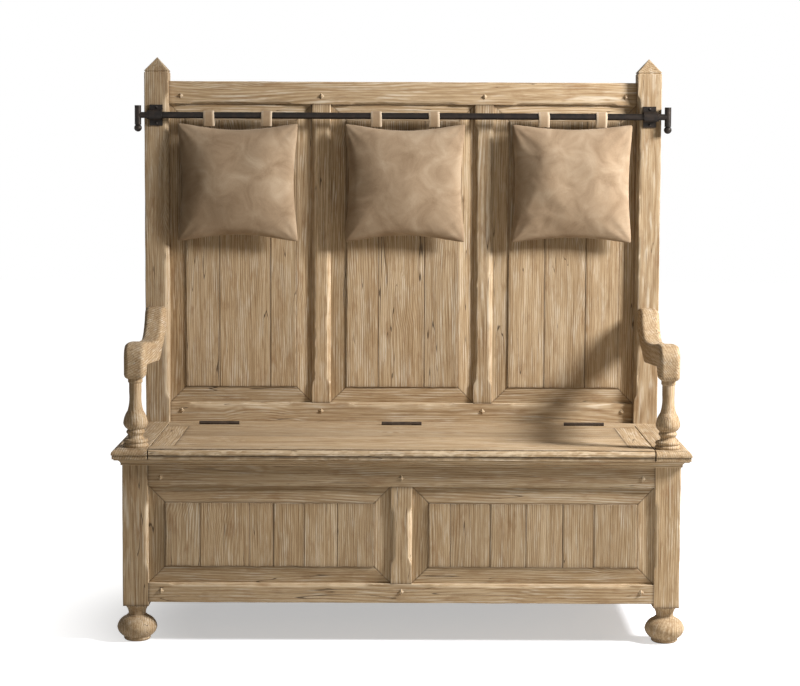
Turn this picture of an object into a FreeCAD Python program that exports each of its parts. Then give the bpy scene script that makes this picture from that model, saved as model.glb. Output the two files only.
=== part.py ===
import FreeCAD, Part
import os
import Sketcher

# Settle bench: a framed and panelled box seat with a hinged lid, a tall panelled back
# and three loose cushions hung by leather loops from an iron bar.
# Millimetres. The front faces -Y, +Z is up, X runs along the seat, and the origin is
# on the floor under the middle of the whole bench.

dimensions = {
    # Overall carcase
    "frame_width": 1340,
    "frame_depth": 572,
    "post_size": 62,
    "post_height": 1387,
    "cap_height": 35,
    "seat_height": 472,
    "seat_thickness": 25,
    "nose_overhang": 24,
    "back_recess": 20,
    # Turned feet
    "foot_height": 88,
    "foot_diameter": 96.5,
    "foot_pad_diameter": 48,
    "foot_ring_diameter": 65,
    "foot_ring_height": 10,
    "foot_bulb_height": 33,
    "foot_shoulder_height": 60,
    "foot_neck_diameter": 42,
    "foot_collar_diameter": 58,
    "foot_ring_lip": 1,
    "foot_bulb_radius": 30,
    "foot_shoulder_radius": 32,
    "foot_shoulder_lip": 5,
    "foot_fillet": 3,
    "foot_neck_rise": 7,
    "foot_collar_radius": 24,
    "foot_collar_height": 3,
    "spigot_diameter": 26,
    "spigot_length": 20,
    # Frame members
    "rail_thickness": 30,
    "bottom_rail_clearance": 98,
    "bottom_rail_height": 47,
    "front_top_rail_height": 67,
    "seat_rail_rise": 50,
    "seat_rail_height": 92,
    "crest_rail_bottom": 1302,
    "crest_rail_height": 58.5,
    "front_muntin_width": 51,
    "back_muntin_width": 49,
    "back_muntin_offset": 212,
    # Joints
    "tenon_length": 36,
    "tenon_thickness": 10,
    "tenon_setback": 10,
    "tenon_shoulder": 12,
    "muntin_tenon_length": 34,
    "joint_fit": 0.2,
    "end_gap": 1,
    "groove_setback": 11,
    "groove_width": 7.5,
    "groove_depth": 10,
    # Panels
    "panel_recess": 3,
    "panel_step": 2.5,
    "bevel_drop": 7,
    "tongue_reach": 9,
    "back_bevel": 42,
    "front_bevel": 41,
    # Stopped chamfers
    "muntin_chamfer": 7.5,
    "rail_chamfer": 5,
    "post_chamfer": 7,
    "chamfer_nib": 0.8,
    "stop_margin": 48,
    "stop_run": 16,
    # Pegs
    "peg_square": 11,
    "peg_rise": 5,
    "peg_shank_diameter": 9,
    "peg_shank_length": 22,
    "peg_inset": 30,
    "crest_peg_height": 21,
    "seat_peg_height": 70,
    "front_top_peg_height": 22,
    "front_bottom_peg_height": 27.5,
    # Mouldings
    "cove_height": 16.5,
    "cove_projection": 18,
    "cove_bead": 4.5,
    "cove_quirk": 1,
    "cove_lip": 3,
    "cove_radius": 11,
    "edge_fillet_height": 8.5,
    "edge_fillet_setback": 2,
    "edge_quirk_height": 1.2,
    "edge_quirk_setback": 5,
    "edge_ovolo_radius": 10,
    "edge_top_height": 2.5,
    "edge_top_setback": 12,
    # Lid and its surround
    "lid_seam": 3,
    "lid_rest_gap": 0.6,
    "hinge_rail_width": 65,
    "lid_front_rail_width": 59,
    "lid_rear_rail_width": 42,
    "lid_end_width": 55,
    "lid_tongue_reach": 8,
    "lid_tongue_thickness": 8,
    # Hinges
    "hinge_offset": 474,
    "hinge_length": 104,
    "middle_knuckle_length": 46,
    "knuckle_gap": 0.4,
    "knuckle_diameter": 9,
    "hinge_axis_rise": 4,
    "leaf_thickness": 2.5,
    "leaf_depth": 19,
    "leaf_relief": 0.6,
    "pin_diameter": 4,
    "pin_running_fit": 0.06,
    "hinge_screw_spread": 76,
    "hinge_screw_drop": 11,
    "hinge_screw_head": 7,
    "hinge_screw_shank": 4,
    "hinge_screw_length": 20,
    # Box floor
    "floor_thickness": 15,
    "cleat_size": 20,
    "ledger_size": 25,
    # Arms
    "arm_width": 50,
    "arm_outset": 1,
    "arm_crown": 11,
    "arm_shoulder_height": 304,
    "arm_shoulder_reach": 46,
    "arm_shoulder_radius": 20,
    "arm_scoop_reach": 160,
    "arm_waist_height": 232,
    "arm_waist_reach": 215,
    "arm_waist_radius": 1900,
    "arm_depth": 50,
    "arm_front_height": 250,
    "arm_front_radius": 34,
    "arm_rear_depth": 58,
    "arm_block_length": 45,
    "arm_block_height": 165,
    "arm_nose_overhang": 2,
    "arm_nose_radius": 12,
    "arm_throat_radius": 24,
    "arm_throat_rise": 30,
    "arm_throat_sweep": 33.6,
    "arm_under_reach": 100,
    "arm_under_drop": 30,
    "arm_under_radius": 150,
    "arm_tenon_height": 34,
    # Turned arm posts
    "baluster_setback": 27,
    "baluster_base_diameter": 57,
    "baluster_base_height": 19,
    "baluster_neck_diameter": 34,
    "baluster_ring_diameter": 43,
    "baluster_bulb_diameter": 59,
    "baluster_waist_diameter": 30,
    "baluster_top_diameter": 35,
    "baluster_base_lip": 2,
    "baluster_base_inset": 6,
    "baluster_cove_rise": 8,
    "baluster_cove_radius": 14,
    "baluster_ring_rise": 13.5,
    "baluster_ring_height": 7,
    "baluster_ring_gap": 3,
    "baluster_bulb_rise": 15,
    "baluster_bulb_radius": 20,
    "baluster_shoulder_rise": 30,
    "baluster_shoulder_radius": 60,
    "baluster_waist_drop": 33,
    "baluster_waist_radius": 120,
    "baluster_cap_height": 9,
    "baluster_fillet": 2,
    "baluster_spigot_diameter": 20,
    "baluster_spigot_length": 14,
    # Cushion bar
    "bar_diameter": 17,
    "bar_height": 1272,
    "bar_standoff": 13.5,
    "bar_running_fit": 0.06,
    "bracket_width": 33,
    "bracket_height": 54,
    "bracket_plate": 3.5,
    "bracket_barrel_diameter": 27,
    "bracket_screw_spread": 41,
    "bracket_screw_head": 8,
    "bracket_screw_dome": 2.5,
    "bracket_screw_shank": 4.5,
    "bracket_screw_length": 26,
    "finial_stand": 15,
    "finial_diameter": 17,
    "finial_length": 50,
    "finial_ball_diameter": 20,
    "finial_neck_diameter": 16,
    "finial_ball_drop": 8,
    "finial_ring_diameter": 23,
    "finial_ring_length": 5,
    "finial_gap": 0.5,
    "bar_end_diameter": 10,
    "bar_end_length": 14,
    # Cushions
    "cushion_post_distance": 175,
    "cushion_shift": 6,
    "cushion_width": 310,
    "cushion_height": 304,
    "cushion_thickness": 62,
    "cushion_waist": 9,
    "cushion_edge": 6,
    "cushion_crown_inset": 75,
    "cushion_hinge_drop": 27,
    "cushion_hinge_gap": 4,
    "loop_width": 28,
    "loop_pitch": 149,
    "loop_leather": 2.5,
    "loop_slack": 0.6,
    "loop_end_gap": 0.5,
}

doc = FreeCAD.newDocument("settle_bench")
sheet = doc.addObject("Spreadsheet::Sheet", "Dims")
for row, (alias, value) in enumerate(dimensions.items(), start=1):
    sheet.set("A%d" % row, alias)
    sheet.set("B%d" % row, str(value))
    sheet.setAlias("B%d" % row, alias)
doc.recompute()


# A size is a number kept together with the sheet expression that gives it, so that one
# formula serves both the first drawing of a sketch and the constraint that drives it.
class Size:
    def __init__(self, number, text):
        self.number = float(number)
        self.text = text

    def __add__(self, other):
        other = as_size(other)
        return Size(self.number + other.number, "(%s + %s)" % (self.text, other.text))

    def __sub__(self, other):
        other = as_size(other)
        return Size(self.number - other.number, "(%s - %s)" % (self.text, other.text))

    def __mul__(self, other):
        other = as_size(other)
        return Size(self.number * other.number, "(%s * %s)" % (self.text, other.text))

    def __truediv__(self, other):
        other = as_size(other)
        return Size(self.number / other.number, "(%s / %s)" % (self.text, other.text))

    def __neg__(self):
        return Size(-self.number, "(-1 * %s)" % self.text)


def as_size(value):
    if isinstance(value, Size):
        return value
    return Size(value, repr(value))


def dim(alias):
    return Size(dimensions[alias], "Dims.%s" % alias)


def least(first, second):
    return Size(min(first.number, second.number), "min(%s; %s)" % (first.text, second.text))


def bind(thing, prop, value):
    thing.setExpression(prop, as_size(value).text)


zero = as_size(0)
nodes = {}


def new_body(label, x=zero, y=zero, z=zero, kept=True):
    body = doc.addObject("PartDesign::Body", label)
    body.Label = label
    bind(body, "Placement.Base.x", x)
    bind(body, "Placement.Base.y", y)
    bind(body, "Placement.Base.z", z)
    if kept:
        nodes[label] = body
    return body


def attach(feature, body, plane):
    wanted = plane + "_Plane"
    support = [item for item in body.Origin.OriginFeatures if item.Role == wanted][0]
    feature.AttachmentSupport = [(support, "")]
    feature.MapMode = "FlatFace"


def new_sketch(body, plane, level):
    sketch = body.newObject("Sketcher::SketchObject", body.Label + "_outline")
    attach(sketch, body, plane)
    # The XZ plane's normal points to -Y, so a level along +Y is taken with the sign turned.
    bind(sketch, "AttachmentOffset.Base.z", -level if plane == "XZ" else level)
    return sketch


def dimension_point(sketch, geometry, point, x, y):
    for kind, value in (("DistanceX", x), ("DistanceY", y)):
        index = sketch.addConstraint(
            Sketcher.Constraint(kind, -1, 1, geometry, point, value.number))
        sketch.setExpression("Constraints[%d]" % index, value.text)


# The highest point of the arc of this radius from start to end. A turn of 1 runs anticlockwise.
def arc_apex(start, end, radius, turn):
    middle = (start + end) * 0.5
    chord = end - start
    rise = max(radius ** 2 - (chord.Length / 2) ** 2, 0) ** 0.5
    across = FreeCAD.Vector(-chord.y, chord.x, 0).normalize() * turn
    return middle + across * (rise - radius)


# A closed outline. A point is (x, y), or (x, y, radius, turn) where an arc leads up to it.
def draw(sketch, path):
    spots = [[as_size(value) for value in point[:2]] for point in path]
    vectors = [FreeCAD.Vector(x.number, y.number, 0) for x, y in spots]
    ends = []
    for index, point in enumerate(path):
        start = vectors[index - 1]
        end = vectors[index]
        if len(point) == 2:
            geometry = sketch.addGeometry(Part.LineSegment(start, end), False)
            ends.append((geometry, 1, 2))
            continue
        radius = as_size(point[2])
        turn = point[3]
        apex = arc_apex(start, end, radius.number, turn)
        geometry = sketch.addGeometry(Part.Arc(start, apex, end), False)
        ends.append((geometry, 1, 2) if turn > 0 else (geometry, 2, 1))
        limit = sketch.addConstraint(Sketcher.Constraint("Radius", geometry, radius.number))
        sketch.setExpression("Constraints[%d]" % limit, radius.text)
    for index, (geometry, first, last) in enumerate(ends):
        following = ends[(index + 1) % len(ends)]
        sketch.addConstraint(
            Sketcher.Constraint("Coincident", geometry, last, following[0], following[1]))
        dimension_point(sketch, geometry, last, spots[index][0], spots[index][1])


def draw_circle(sketch, x, y, radius):
    centre = FreeCAD.Vector(as_size(x).number, as_size(y).number, 0)
    circle = Part.Circle(centre, FreeCAD.Vector(0, 0, 1), radius.number)
    geometry = sketch.addGeometry(circle, False)
    dimension_point(sketch, geometry, 3, as_size(x), as_size(y))
    limit = sketch.addConstraint(Sketcher.Constraint("Radius", geometry, radius.number))
    sketch.setExpression("Constraints[%d]" % limit, radius.text)


def rectangle(left, right, bottom, top):
    return [(left, bottom), (right, bottom), (right, top), (left, top)]


# A round outline for pads and pockets
class Round:
    def __init__(self, x, y, radius):
        self.x = x
        self.y = y
        self.radius = radius


def outline(body, plane, level, shape):
    sketch = new_sketch(body, plane, as_size(level))
    for item in shape if isinstance(shape, tuple) else (shape,):
        if isinstance(item, Round):
            draw_circle(sketch, item.x, item.y, item.radius)
        else:
            draw(sketch, item)
    return sketch


# Pads and pockets both run from their level towards the positive axis.
def pad(body, plane, level, shape, length):
    feature = body.newObject("PartDesign::Pad", body.Label + "_pad")
    feature.Profile = outline(body, plane, level, shape)
    feature.Reversed = plane == "XZ"
    bind(feature, "Length", length)
    return feature


def pocket(body, plane, level, shape, length):
    sketch = outline(body, plane, level, shape)
    feature = body.newObject("PartDesign::Pocket", body.Label + "_pocket")
    feature.Profile = sketch
    feature.Reversed = plane != "XZ"
    bind(feature, "Length", length)
    return feature


def turning(body, shape, plane="XZ", axis="V_Axis"):
    sketch = outline(body, plane, zero, shape)
    feature = body.newObject("PartDesign::Revolution", body.Label + "_turning")
    feature.Profile = sketch
    feature.ReferenceAxis = (sketch, [axis])
    feature.Angle = 360
    return feature


def loft(body, plane, sections, kind="AdditiveLoft"):
    sketches = [outline(body, plane, level, shape) for level, shape in sections]
    feature = body.newObject("PartDesign::" + kind, body.Label + "_loft")
    feature.Profile = sketches[0]
    feature.Sections = sketches[1:]
    feature.Ruled = True
    return feature


# A chamfer along one arris that fades out at both ends.
# corner is the arris in the section plane, and legs are the signs of its two sides.
def stopped_chamfer(body, plane, start, end, corner, legs, size):
    def section(level, leg):
        u, v = corner
        return level, [(u, v), (u + leg * legs[0], v), (u, v + leg * legs[1])]

    nib = dim("chamfer_nib")
    run = dim("stop_run")
    sections = [section(start, nib), section(start + run, size),
                section(end - run, size), section(end, nib)]
    loft(body, plane, sections, "SubtractiveLoft")


# A box cut given by its lower and upper corner
def box_cut(body, low, high):
    path = rectangle(low[0], high[0], low[1], high[1])
    pocket(body, "XY", low[2], path, high[2] - low[2])


# A span measured outwards from the middle of the bench, on the left or right side
def outward(side, near, far):
    return (as_size(near), as_size(far)) if side > 0 else (-as_size(far), -as_size(near))


def side_name(side):
    return "right" if side > 0 else "left"


# Solids of one kind that share a node
def group(label, members):
    compound = doc.addObject("Part::Compound", label)
    compound.Label = label
    compound.Links = members
    nodes[label] = compound
    return compound


def copy_at(source, label, x, y, z):
    link = doc.addObject("App::Link", label)
    link.LinkedObject = source
    for axis, value in (("x", x), ("y", y), ("z", z)):
        bind(link, "Placement.Base." + axis, value)
    return link


# Places shared by several pieces
post = dim("post_size")
half_width = dim("frame_width") / 2
post_inner = half_width - post
post_centre = half_width - post / 2
arm_centre = post_centre + dim("arm_outset")
foot_reach = (dim("foot_diameter") - post) / 2
front = -(dim("frame_depth") + foot_reach - dim("nose_overhang")) / 2
back = front + dim("frame_depth")
back_post_front = back - post
back_face = back_post_front + dim("back_recess")
seat_top = dim("seat_height")
frame_top = seat_top - dim("seat_thickness")
bottom_rail_low = dim("bottom_rail_clearance")
bottom_rail_top = bottom_rail_low + dim("bottom_rail_height")
top_rail_low = frame_top - dim("front_top_rail_height")
seat_rail_top = seat_top + dim("seat_rail_rise")
seat_rail_low = seat_rail_top - dim("seat_rail_height")
crest_low = dim("crest_rail_bottom")
crest_top = crest_low + dim("crest_rail_height")
thickness = dim("rail_thickness")
fit = dim("joint_fit")
gap = dim("end_gap")
shoulder = dim("tenon_shoulder")
tenon_low = dim("tenon_setback")
tenon_high = tenon_low + dim("tenon_thickness")
tenon_reach = dim("tenon_length")
groove_low = dim("groove_setback")
groove_high = groove_low + dim("groove_width")
groove_depth = dim("groove_depth")
seam_centre = back_face - dim("hinge_rail_width") - dim("lid_seam") / 2
lid_half = post_inner - dim("lid_seam")
hinge_axis_height = seat_top + dim("hinge_axis_rise")
bar_y = back_post_front - dim("bar_standoff")
bar_z = dim("bar_height")
hinge_places = [-dim("hinge_offset"), zero, dim("hinge_offset")]
screw_places = [-dim("hinge_screw_spread") / 2, dim("hinge_screw_spread") / 2]
# How far the arc of a bead goes, and how wide it is drawn, for each unit of its height
bead_fullness = 0.6
back_muntins = [-dim("back_muntin_offset"), dim("back_muntin_offset")]


# A turned bun foot with a spigot that goes up into its post
def foot(label, x, y):
    body = new_body(label, x, y)
    top = dim("foot_height")
    pad_radius = dim("foot_pad_diameter") / 2
    ring = dim("foot_ring_diameter") / 2
    ring_top = dim("foot_ring_height")
    bulb = dim("foot_diameter") / 2
    bulb_height = dim("foot_bulb_height")
    shoulder_height = dim("foot_shoulder_height")
    neck = dim("foot_neck_diameter") / 2
    collar = dim("foot_collar_diameter") / 2
    spigot = dim("spigot_diameter") / 2
    fillet = dim("foot_fillet")
    turning(body, [
        (0, 0),
        (pad_radius, 0),
        (ring, ring_top * bead_fullness, ring_top, 1),
        (ring - dim("foot_ring_lip"), ring_top),
        (bulb, bulb_height, dim("foot_bulb_radius"), 1),
        (neck + dim("foot_shoulder_lip"), shoulder_height, dim("foot_shoulder_radius"), 1),
        (neck + fillet, shoulder_height + fillet),
        (neck, shoulder_height + fillet),
        (neck, shoulder_height + dim("foot_neck_rise")),
        (collar, top - dim("foot_collar_height"), dim("foot_collar_radius"), -1),
        (collar, top),
        (spigot, top),
        (spigot, top + dim("spigot_length")),
        (0, top + dim("spigot_length")),
    ])


def bore_for_spigot(body):
    hole = Round(zero, post / 2, dim("spigot_diameter") / 2 + fit)
    pocket(body, "XY", zero, hole, dim("spigot_length") + gap)


# A mortise in the side of a post that faces the other post of its frame.
# face is where the frame's front face lies behind the front of this post.
def inward_mortise(body, side, face, low, height):
    start, end = outward(side, -post / 2, -post / 2 + tenon_reach + gap)
    box_cut(body, (start, face + tenon_low - fit, low + shoulder - fit),
            (end, face + tenon_high + fit, low + height - shoulder + fit))


def inward_groove(body, side, face, low, high):
    start, end = outward(side, -post / 2, -post / 2 + groove_depth)
    box_cut(body, (start, face + groove_low, low), (end, face + groove_high, high))


# Mortises and groove for the end frame of the box. inwards is 1 where they are cut into the
# post's front face and -1 where they are cut into its back face.
def end_frame_cuts(body, side, inwards, floor):
    def into_post(depth):
        return (zero, depth) if inwards > 0 else (post - depth, post)

    near, far = into_post(tenon_reach + gap)
    inner, outer = outward(side, post / 2 - tenon_high - fit, post / 2 - tenon_low + fit)
    for low, height in ((bottom_rail_low, dim("bottom_rail_height")),
                        (top_rail_low, dim("front_top_rail_height"))):
        box_cut(body, (inner, near, low - floor + shoulder - fit),
                (outer, far, low - floor + height - shoulder + fit))
    inner, outer = outward(side, post / 2 - groove_high, post / 2 - groove_low)
    start, end = into_post(groove_depth)
    box_cut(body, (inner, start, bottom_rail_top - floor - groove_depth),
            (outer, end, top_rail_low - floor + groove_depth))


def front_post(side):
    floor = dim("foot_height")
    body = new_body("front_post_" + side_name(side), post_centre * side, front, floor)
    square = rectangle(-post / 2, post / 2, zero, post)
    pad(body, "XY", zero, square, frame_top - floor)
    bore_for_spigot(body)
    inward_mortise(body, side, zero, bottom_rail_low - floor, dim("bottom_rail_height"))
    inward_mortise(body, side, zero, top_rail_low - floor, dim("front_top_rail_height"))
    inward_groove(body, side, zero, bottom_rail_top - floor - groove_depth,
                  top_rail_low - floor + groove_depth)
    end_frame_cuts(body, side, -1, floor)


def back_post(side):
    floor = dim("foot_height")
    x = post_centre * side
    body = new_body("back_post_" + side_name(side), x, back_post_front, floor)
    top = dim("post_height") - floor
    neck_height = dim("post_chamfer") * 0.7
    neck_inset = neck_height / 2
    tip = dim("chamfer_nib")

    def square(inset):
        return rectangle(-post / 2 + inset, post / 2 - inset, inset, post - inset)

    pad(body, "XY", zero, square(zero), top - neck_height)
    loft(body, "XY", [(top - neck_height, square(zero)), (top - neck_inset, square(neck_inset)),
                      (top, square(zero))])
    loft(body, "XY", [(top, square(zero)), (top + dim("cap_height"), square(post / 2 - tip))])
    bore_for_spigot(body)
    recess = dim("back_recess")
    for low, height in ((bottom_rail_low, dim("bottom_rail_height")),
                        (seat_rail_low, dim("seat_rail_height")),
                        (crest_low, dim("crest_rail_height"))):
        inward_mortise(body, side, recess, low - floor, height)
    for low, high in ((bottom_rail_top, seat_rail_low), (seat_rail_top, crest_low)):
        inward_groove(body, side, recess, low - floor - groove_depth,
                      high - floor + groove_depth)
    end_frame_cuts(body, side, 1, floor)
    arm_mortise(body, side)
    for height in bracket_screw_heights():
        hole = Round(zero, height - floor, dim("bracket_screw_shank") / 2 + fit / 2)
        pocket(body, "XZ", zero, hole, dim("bracket_screw_length") + gap)
    corner = (-post / 2 * side, zero)
    stopped_chamfer(body, "XY", seat_rail_top - floor, crest_low - floor,
                    corner, (side, 1), dim("post_chamfer"))


def bracket_screw_heights():
    return [bar_z - dim("bracket_screw_spread") / 2, bar_z + dim("bracket_screw_spread") / 2]


def arm_tenon_span():
    middle = seat_top + dim("arm_shoulder_height") - dim("arm_rear_depth") / 2
    return middle - dim("arm_tenon_height") / 2, middle + dim("arm_tenon_height") / 2


def arm_mortise(body, side):
    floor = dim("foot_height")
    low, high = arm_tenon_span()
    middle = dim("arm_outset") * side
    reach = dim("tenon_thickness") / 2 + fit
    box_cut(body, (middle - reach, zero, low - floor - fit),
            (middle + reach, tenon_reach + gap, high - floor + fit))


# A rail between two posts of the front or back frame, with its tenons. grooved names the
# edges that hold panels, mortises are the middles of its muntins, and pegs are their places.
def long_rail(label, face, low, height, grooved, mortises, pegs, peg_height):
    body = new_body(label, zero, face, low)
    run = post_inner * 2
    pad(body, "YZ", -post_inner, rectangle(zero, thickness, zero, height), run)
    tenon = rectangle(tenon_low, tenon_high, shoulder, height - shoulder)
    pad(body, "YZ", -(post_inner + tenon_reach), tenon, run + tenon_reach * 2)
    edges = {"lower": (zero, groove_depth), "upper": (height - groove_depth, height)}
    for edge in grooved:
        start, end = edges[edge]
        pocket(body, "YZ", -post_inner, rectangle(groove_low, groove_high, start, end), run)
    for edge, middle, width in mortises:
        reach = width / 2 - shoulder + fit
        depth = dim("muntin_tenon_length") + gap
        start, end = (zero, depth) if edge == "lower" else (height - depth, height)
        box_cut(body, (middle - reach, tenon_low - fit, start),
                (middle + reach, tenon_high + fit, end))
    for place in pegs:
        hole = Round(place, peg_height, dim("peg_shank_diameter") / 2 + fit / 2)
        pocket(body, "XZ", zero, hole, dim("peg_shank_length") + gap)
    return body


# Stopped chamfers along one edge of a long rail, one for each panel opening
def rail_chamfers(body, edge_height, direction, openings):
    margin = dim("stop_margin")
    for start, end in openings:
        stopped_chamfer(body, "YZ", start + margin, end - margin, (zero, edge_height),
                        (1, direction), dim("rail_chamfer"))


# A muntin between two rails. The pegs that pin its tenons stand at these depths in the rails.
def muntin(label, x, face, low, high, width, low_peg, high_peg):
    body = new_body(label, x, face, low)
    height = high - low
    reach = dim("muntin_tenon_length")
    pad(body, "XY", zero, rectangle(-width / 2, width / 2, zero, thickness), height)
    half_tenon = width / 2 - shoulder
    tenon = rectangle(-half_tenon, half_tenon, tenon_low, tenon_high)
    pad(body, "XY", -reach, tenon, height + reach * 2)
    peg_radius = dim("peg_shank_diameter") / 2 + fit / 2
    for peg_height in (-low_peg, height + high_peg):
        pocket(body, "XZ", tenon_low, Round(zero, peg_height, peg_radius), tenon_high - tenon_low)
    margin = least(dim("stop_margin"), height / 8)
    for side in (-1, 1):
        start, end = outward(side, width / 2 - groove_depth, width / 2)
        box_cut(body, (start, groove_low, zero), (end, groove_high, height))
        stopped_chamfer(body, "XY", margin, height - margin, (width / 2 * side, zero),
                        (-side, 1), dim("muntin_chamfer"))


# A raised and fielded panel. Levels are measured from the face of its frame inwards, along
# +Y for the front and back frames and along -X or +X for the ends of the box.
def raised_panel(label, origin, plane, inwards, half_span, height, bevel):
    body = new_body(label, *origin)
    tongue = dim("tongue_reach")
    field_level = dim("panel_recess")
    step_level = field_level + dim("panel_step")
    edge_level = step_level + dim("bevel_drop")
    back_level = groove_high - fit
    edge = rectangle(-(half_span + tongue), half_span + tongue, -tongue, height + tongue)
    field = rectangle(-(half_span - bevel), half_span - bevel, bevel, height - bevel)

    def slab(near, far, shape):
        start = near if inwards > 0 else -far
        pad(body, plane, start, shape, far - near)

    slab(edge_level, back_level, edge)
    loft(body, plane, [(edge_level * inwards, edge), (step_level * inwards, field)])
    slab(field_level, step_level, field)


def back_frame():
    places = [-(post_inner - dim("peg_inset"))] + back_muntins + [post_inner - dim("peg_inset")]
    half = dim("back_muntin_width") / 2
    edges = [-post_inner, back_muntins[0] - half, back_muntins[0] + half,
             back_muntins[1] - half, back_muntins[1] + half, post_inner]
    openings = list(zip(edges[0::2], edges[1::2]))
    width = dim("back_muntin_width")
    crest_height = dim("crest_rail_height")
    crest = long_rail("back_crest_rail", back_face, crest_low, crest_height, ["lower"],
                      [("lower", x, width) for x in back_muntins], places,
                      dim("crest_peg_height"))
    rail_chamfers(crest, zero, 1, openings)
    rail_height = dim("seat_rail_height")
    seat_rail = long_rail("back_seat_rail", back_face, seat_rail_low, rail_height,
                          ["lower", "upper"], [("upper", x, width) for x in back_muntins],
                          places, dim("seat_peg_height"))
    rail_chamfers(seat_rail, rail_height, -1, openings)
    for x, name in zip(back_muntins, ("left", "right")):
        muntin("back_muntin_" + name, x, back_face, seat_rail_top, crest_low, width,
               rail_height - dim("seat_peg_height"), dim("crest_peg_height"))
    for (start, end), name in zip(openings, ("left", "centre", "right")):
        raised_panel("back_panel_" + name, ((start + end) / 2, back_face, seat_rail_top),
                     "XZ", 1, (end - start) / 2, crest_low - seat_rail_top, dim("back_bevel"))
    long_rail("box_back_rail", back_face, bottom_rail_low, dim("bottom_rail_height"),
              ["upper"], [], [], zero)
    body = new_body("box_back_panel", zero, back_face, bottom_rail_top)
    tongue = dim("tongue_reach")
    board = rectangle(-(post_inner + tongue), post_inner + tongue,
                      -tongue, seat_rail_low - bottom_rail_top + tongue)
    pad(body, "XZ", groove_low + fit, board, dim("groove_width") - fit * 2)


def front_frame():
    half = dim("front_muntin_width") / 2
    places = [-(post_inner - dim("peg_inset")), zero, post_inner - dim("peg_inset")]
    openings = [(-post_inner, -half), (half, post_inner)]
    width = dim("front_muntin_width")
    top = long_rail("front_top_rail", front, top_rail_low, dim("front_top_rail_height"),
                    ["lower"], [("lower", zero, width)], places, dim("front_top_peg_height"))
    rail_chamfers(top, zero, 1, openings)
    low_height = dim("bottom_rail_height")
    bottom = long_rail("front_bottom_rail", front, bottom_rail_low, low_height, ["upper"],
                       [("upper", zero, width)], places, dim("front_bottom_peg_height"))
    rail_chamfers(bottom, low_height, -1, openings)
    muntin("front_muntin", zero, front, bottom_rail_top, top_rail_low, width,
           low_height - dim("front_bottom_peg_height"), dim("front_top_peg_height"))
    for (start, end), name in zip(openings, ("left", "right")):
        raised_panel("front_panel_" + name, ((start + end) / 2, front, bottom_rail_top), "XZ", 1,
                     (end - start) / 2, top_rail_low - bottom_rail_top, dim("front_bevel"))


def end_frame(side):
    name = side_name(side)
    near = front + post
    run = back_post_front - near
    rails = (("side_bottom_rail_", bottom_rail_low, dim("bottom_rail_height"), "upper"),
             ("side_top_rail_", top_rail_low, dim("front_top_rail_height"), "lower"))
    for label, low, height, grooved in rails:
        body = new_body(label + name, half_width * side, near, low)
        start, end = outward(side, -thickness, zero)
        pad(body, "XZ", zero, rectangle(start, end, zero, height), run)
        start, end = outward(side, -tenon_high, -tenon_low)
        tenon = rectangle(start, end, shoulder, height - shoulder)
        pad(body, "XZ", -tenon_reach, tenon, run + tenon_reach * 2)
        start, end = outward(side, -groove_high, -groove_low)
        low_edge = height - groove_depth if grooved == "upper" else zero
        groove = rectangle(start, end, low_edge, low_edge + groove_depth)
        pocket(body, "XZ", zero, groove, run)
    origin = (half_width * side, near + run / 2, bottom_rail_top)
    raised_panel("side_panel_" + name, origin, "YZ", -side, run / 2,
                 top_rail_low - bottom_rail_top, dim("front_bevel"))


# The box floor is notched round the four posts and lies on cleats.
def box_floor():
    low = bottom_rail_low + dim("cleat_size")
    body = new_body("box_floor", zero, zero, low)
    outer = half_width - thickness - gap
    inner = post_inner - gap
    near = front + thickness + gap
    near_notch = front + post + gap
    far = back_face - gap
    far_notch = back_post_front - gap
    pad(body, "XY", zero, [
        (-inner, near), (inner, near), (inner, near_notch), (outer, near_notch),
        (outer, far_notch), (inner, far_notch), (inner, far), (-inner, far),
        (-inner, far_notch), (-outer, far_notch), (-outer, near_notch), (-inner, near_notch),
    ], dim("floor_thickness"))


def cleats():
    size = dim("cleat_size")
    ledger = dim("ledger_size")
    run = (post_inner - gap * 2) * 2
    members = []
    for label, near, low, width in (
            ("front_cleat", front + thickness, bottom_rail_low, size),
            ("back_cleat", back_face - size, bottom_rail_low, size),
            ("hinge_rail_ledger", back_face - ledger, frame_top - ledger, ledger)):
        body = new_body(label, -run / 2, near, low, kept=False)
        pad(body, "YZ", zero, rectangle(zero, width, zero, width), run)
        members.append(body)
    group("cleats", members)


# Section of the cove under the seat edge, with its foot on the frame's face.
# outwards is -1 where the face looks along the negative axis of the section.
def cove_section(outwards):
    bead = dim("cove_bead")
    lip = dim("cove_lip")
    top = dim("cove_height")
    reach = dim("cove_projection")
    half_bead = bead / 2
    return [
        (0, 0),
        (half_bead * outwards, 0),
        (half_bead * outwards, bead, bead * bead_fullness, outwards),
        ((half_bead + dim("cove_quirk")) * outwards, bead),
        ((reach - lip) * outwards, top - lip, dim("cove_radius"), -outwards),
        (reach * outwards, top - lip),
        (reach * outwards, top),
        (0, top),
    ]


def coves():
    low = frame_top - dim("cove_height")
    reach = dim("cove_projection")
    body = new_body("cove_front", zero, front, low)
    span = half_width + reach
    pad(body, "YZ", -span, cove_section(-1), span * 2)
    for side in (-1, 1):
        mitre = [(span * side, -reach), (span * side, 0), (half_width * side, 0)]
        pocket(body, "XY", zero, mitre, dim("cove_height"))
    members = []
    for side in (-1, 1):
        label = "cove_" + side_name(side)
        body = new_body(label, half_width * side, front, low, kept=False)
        pad(body, "XZ", -reach, cove_section(side), dim("frame_depth") + reach)
        mitre = [(0, 0), (reach * side, -reach), (0, -reach)]
        pocket(body, "XY", zero, mitre, dim("cove_height"))
        members.append(body)
    group("cove_sides", members)


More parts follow.
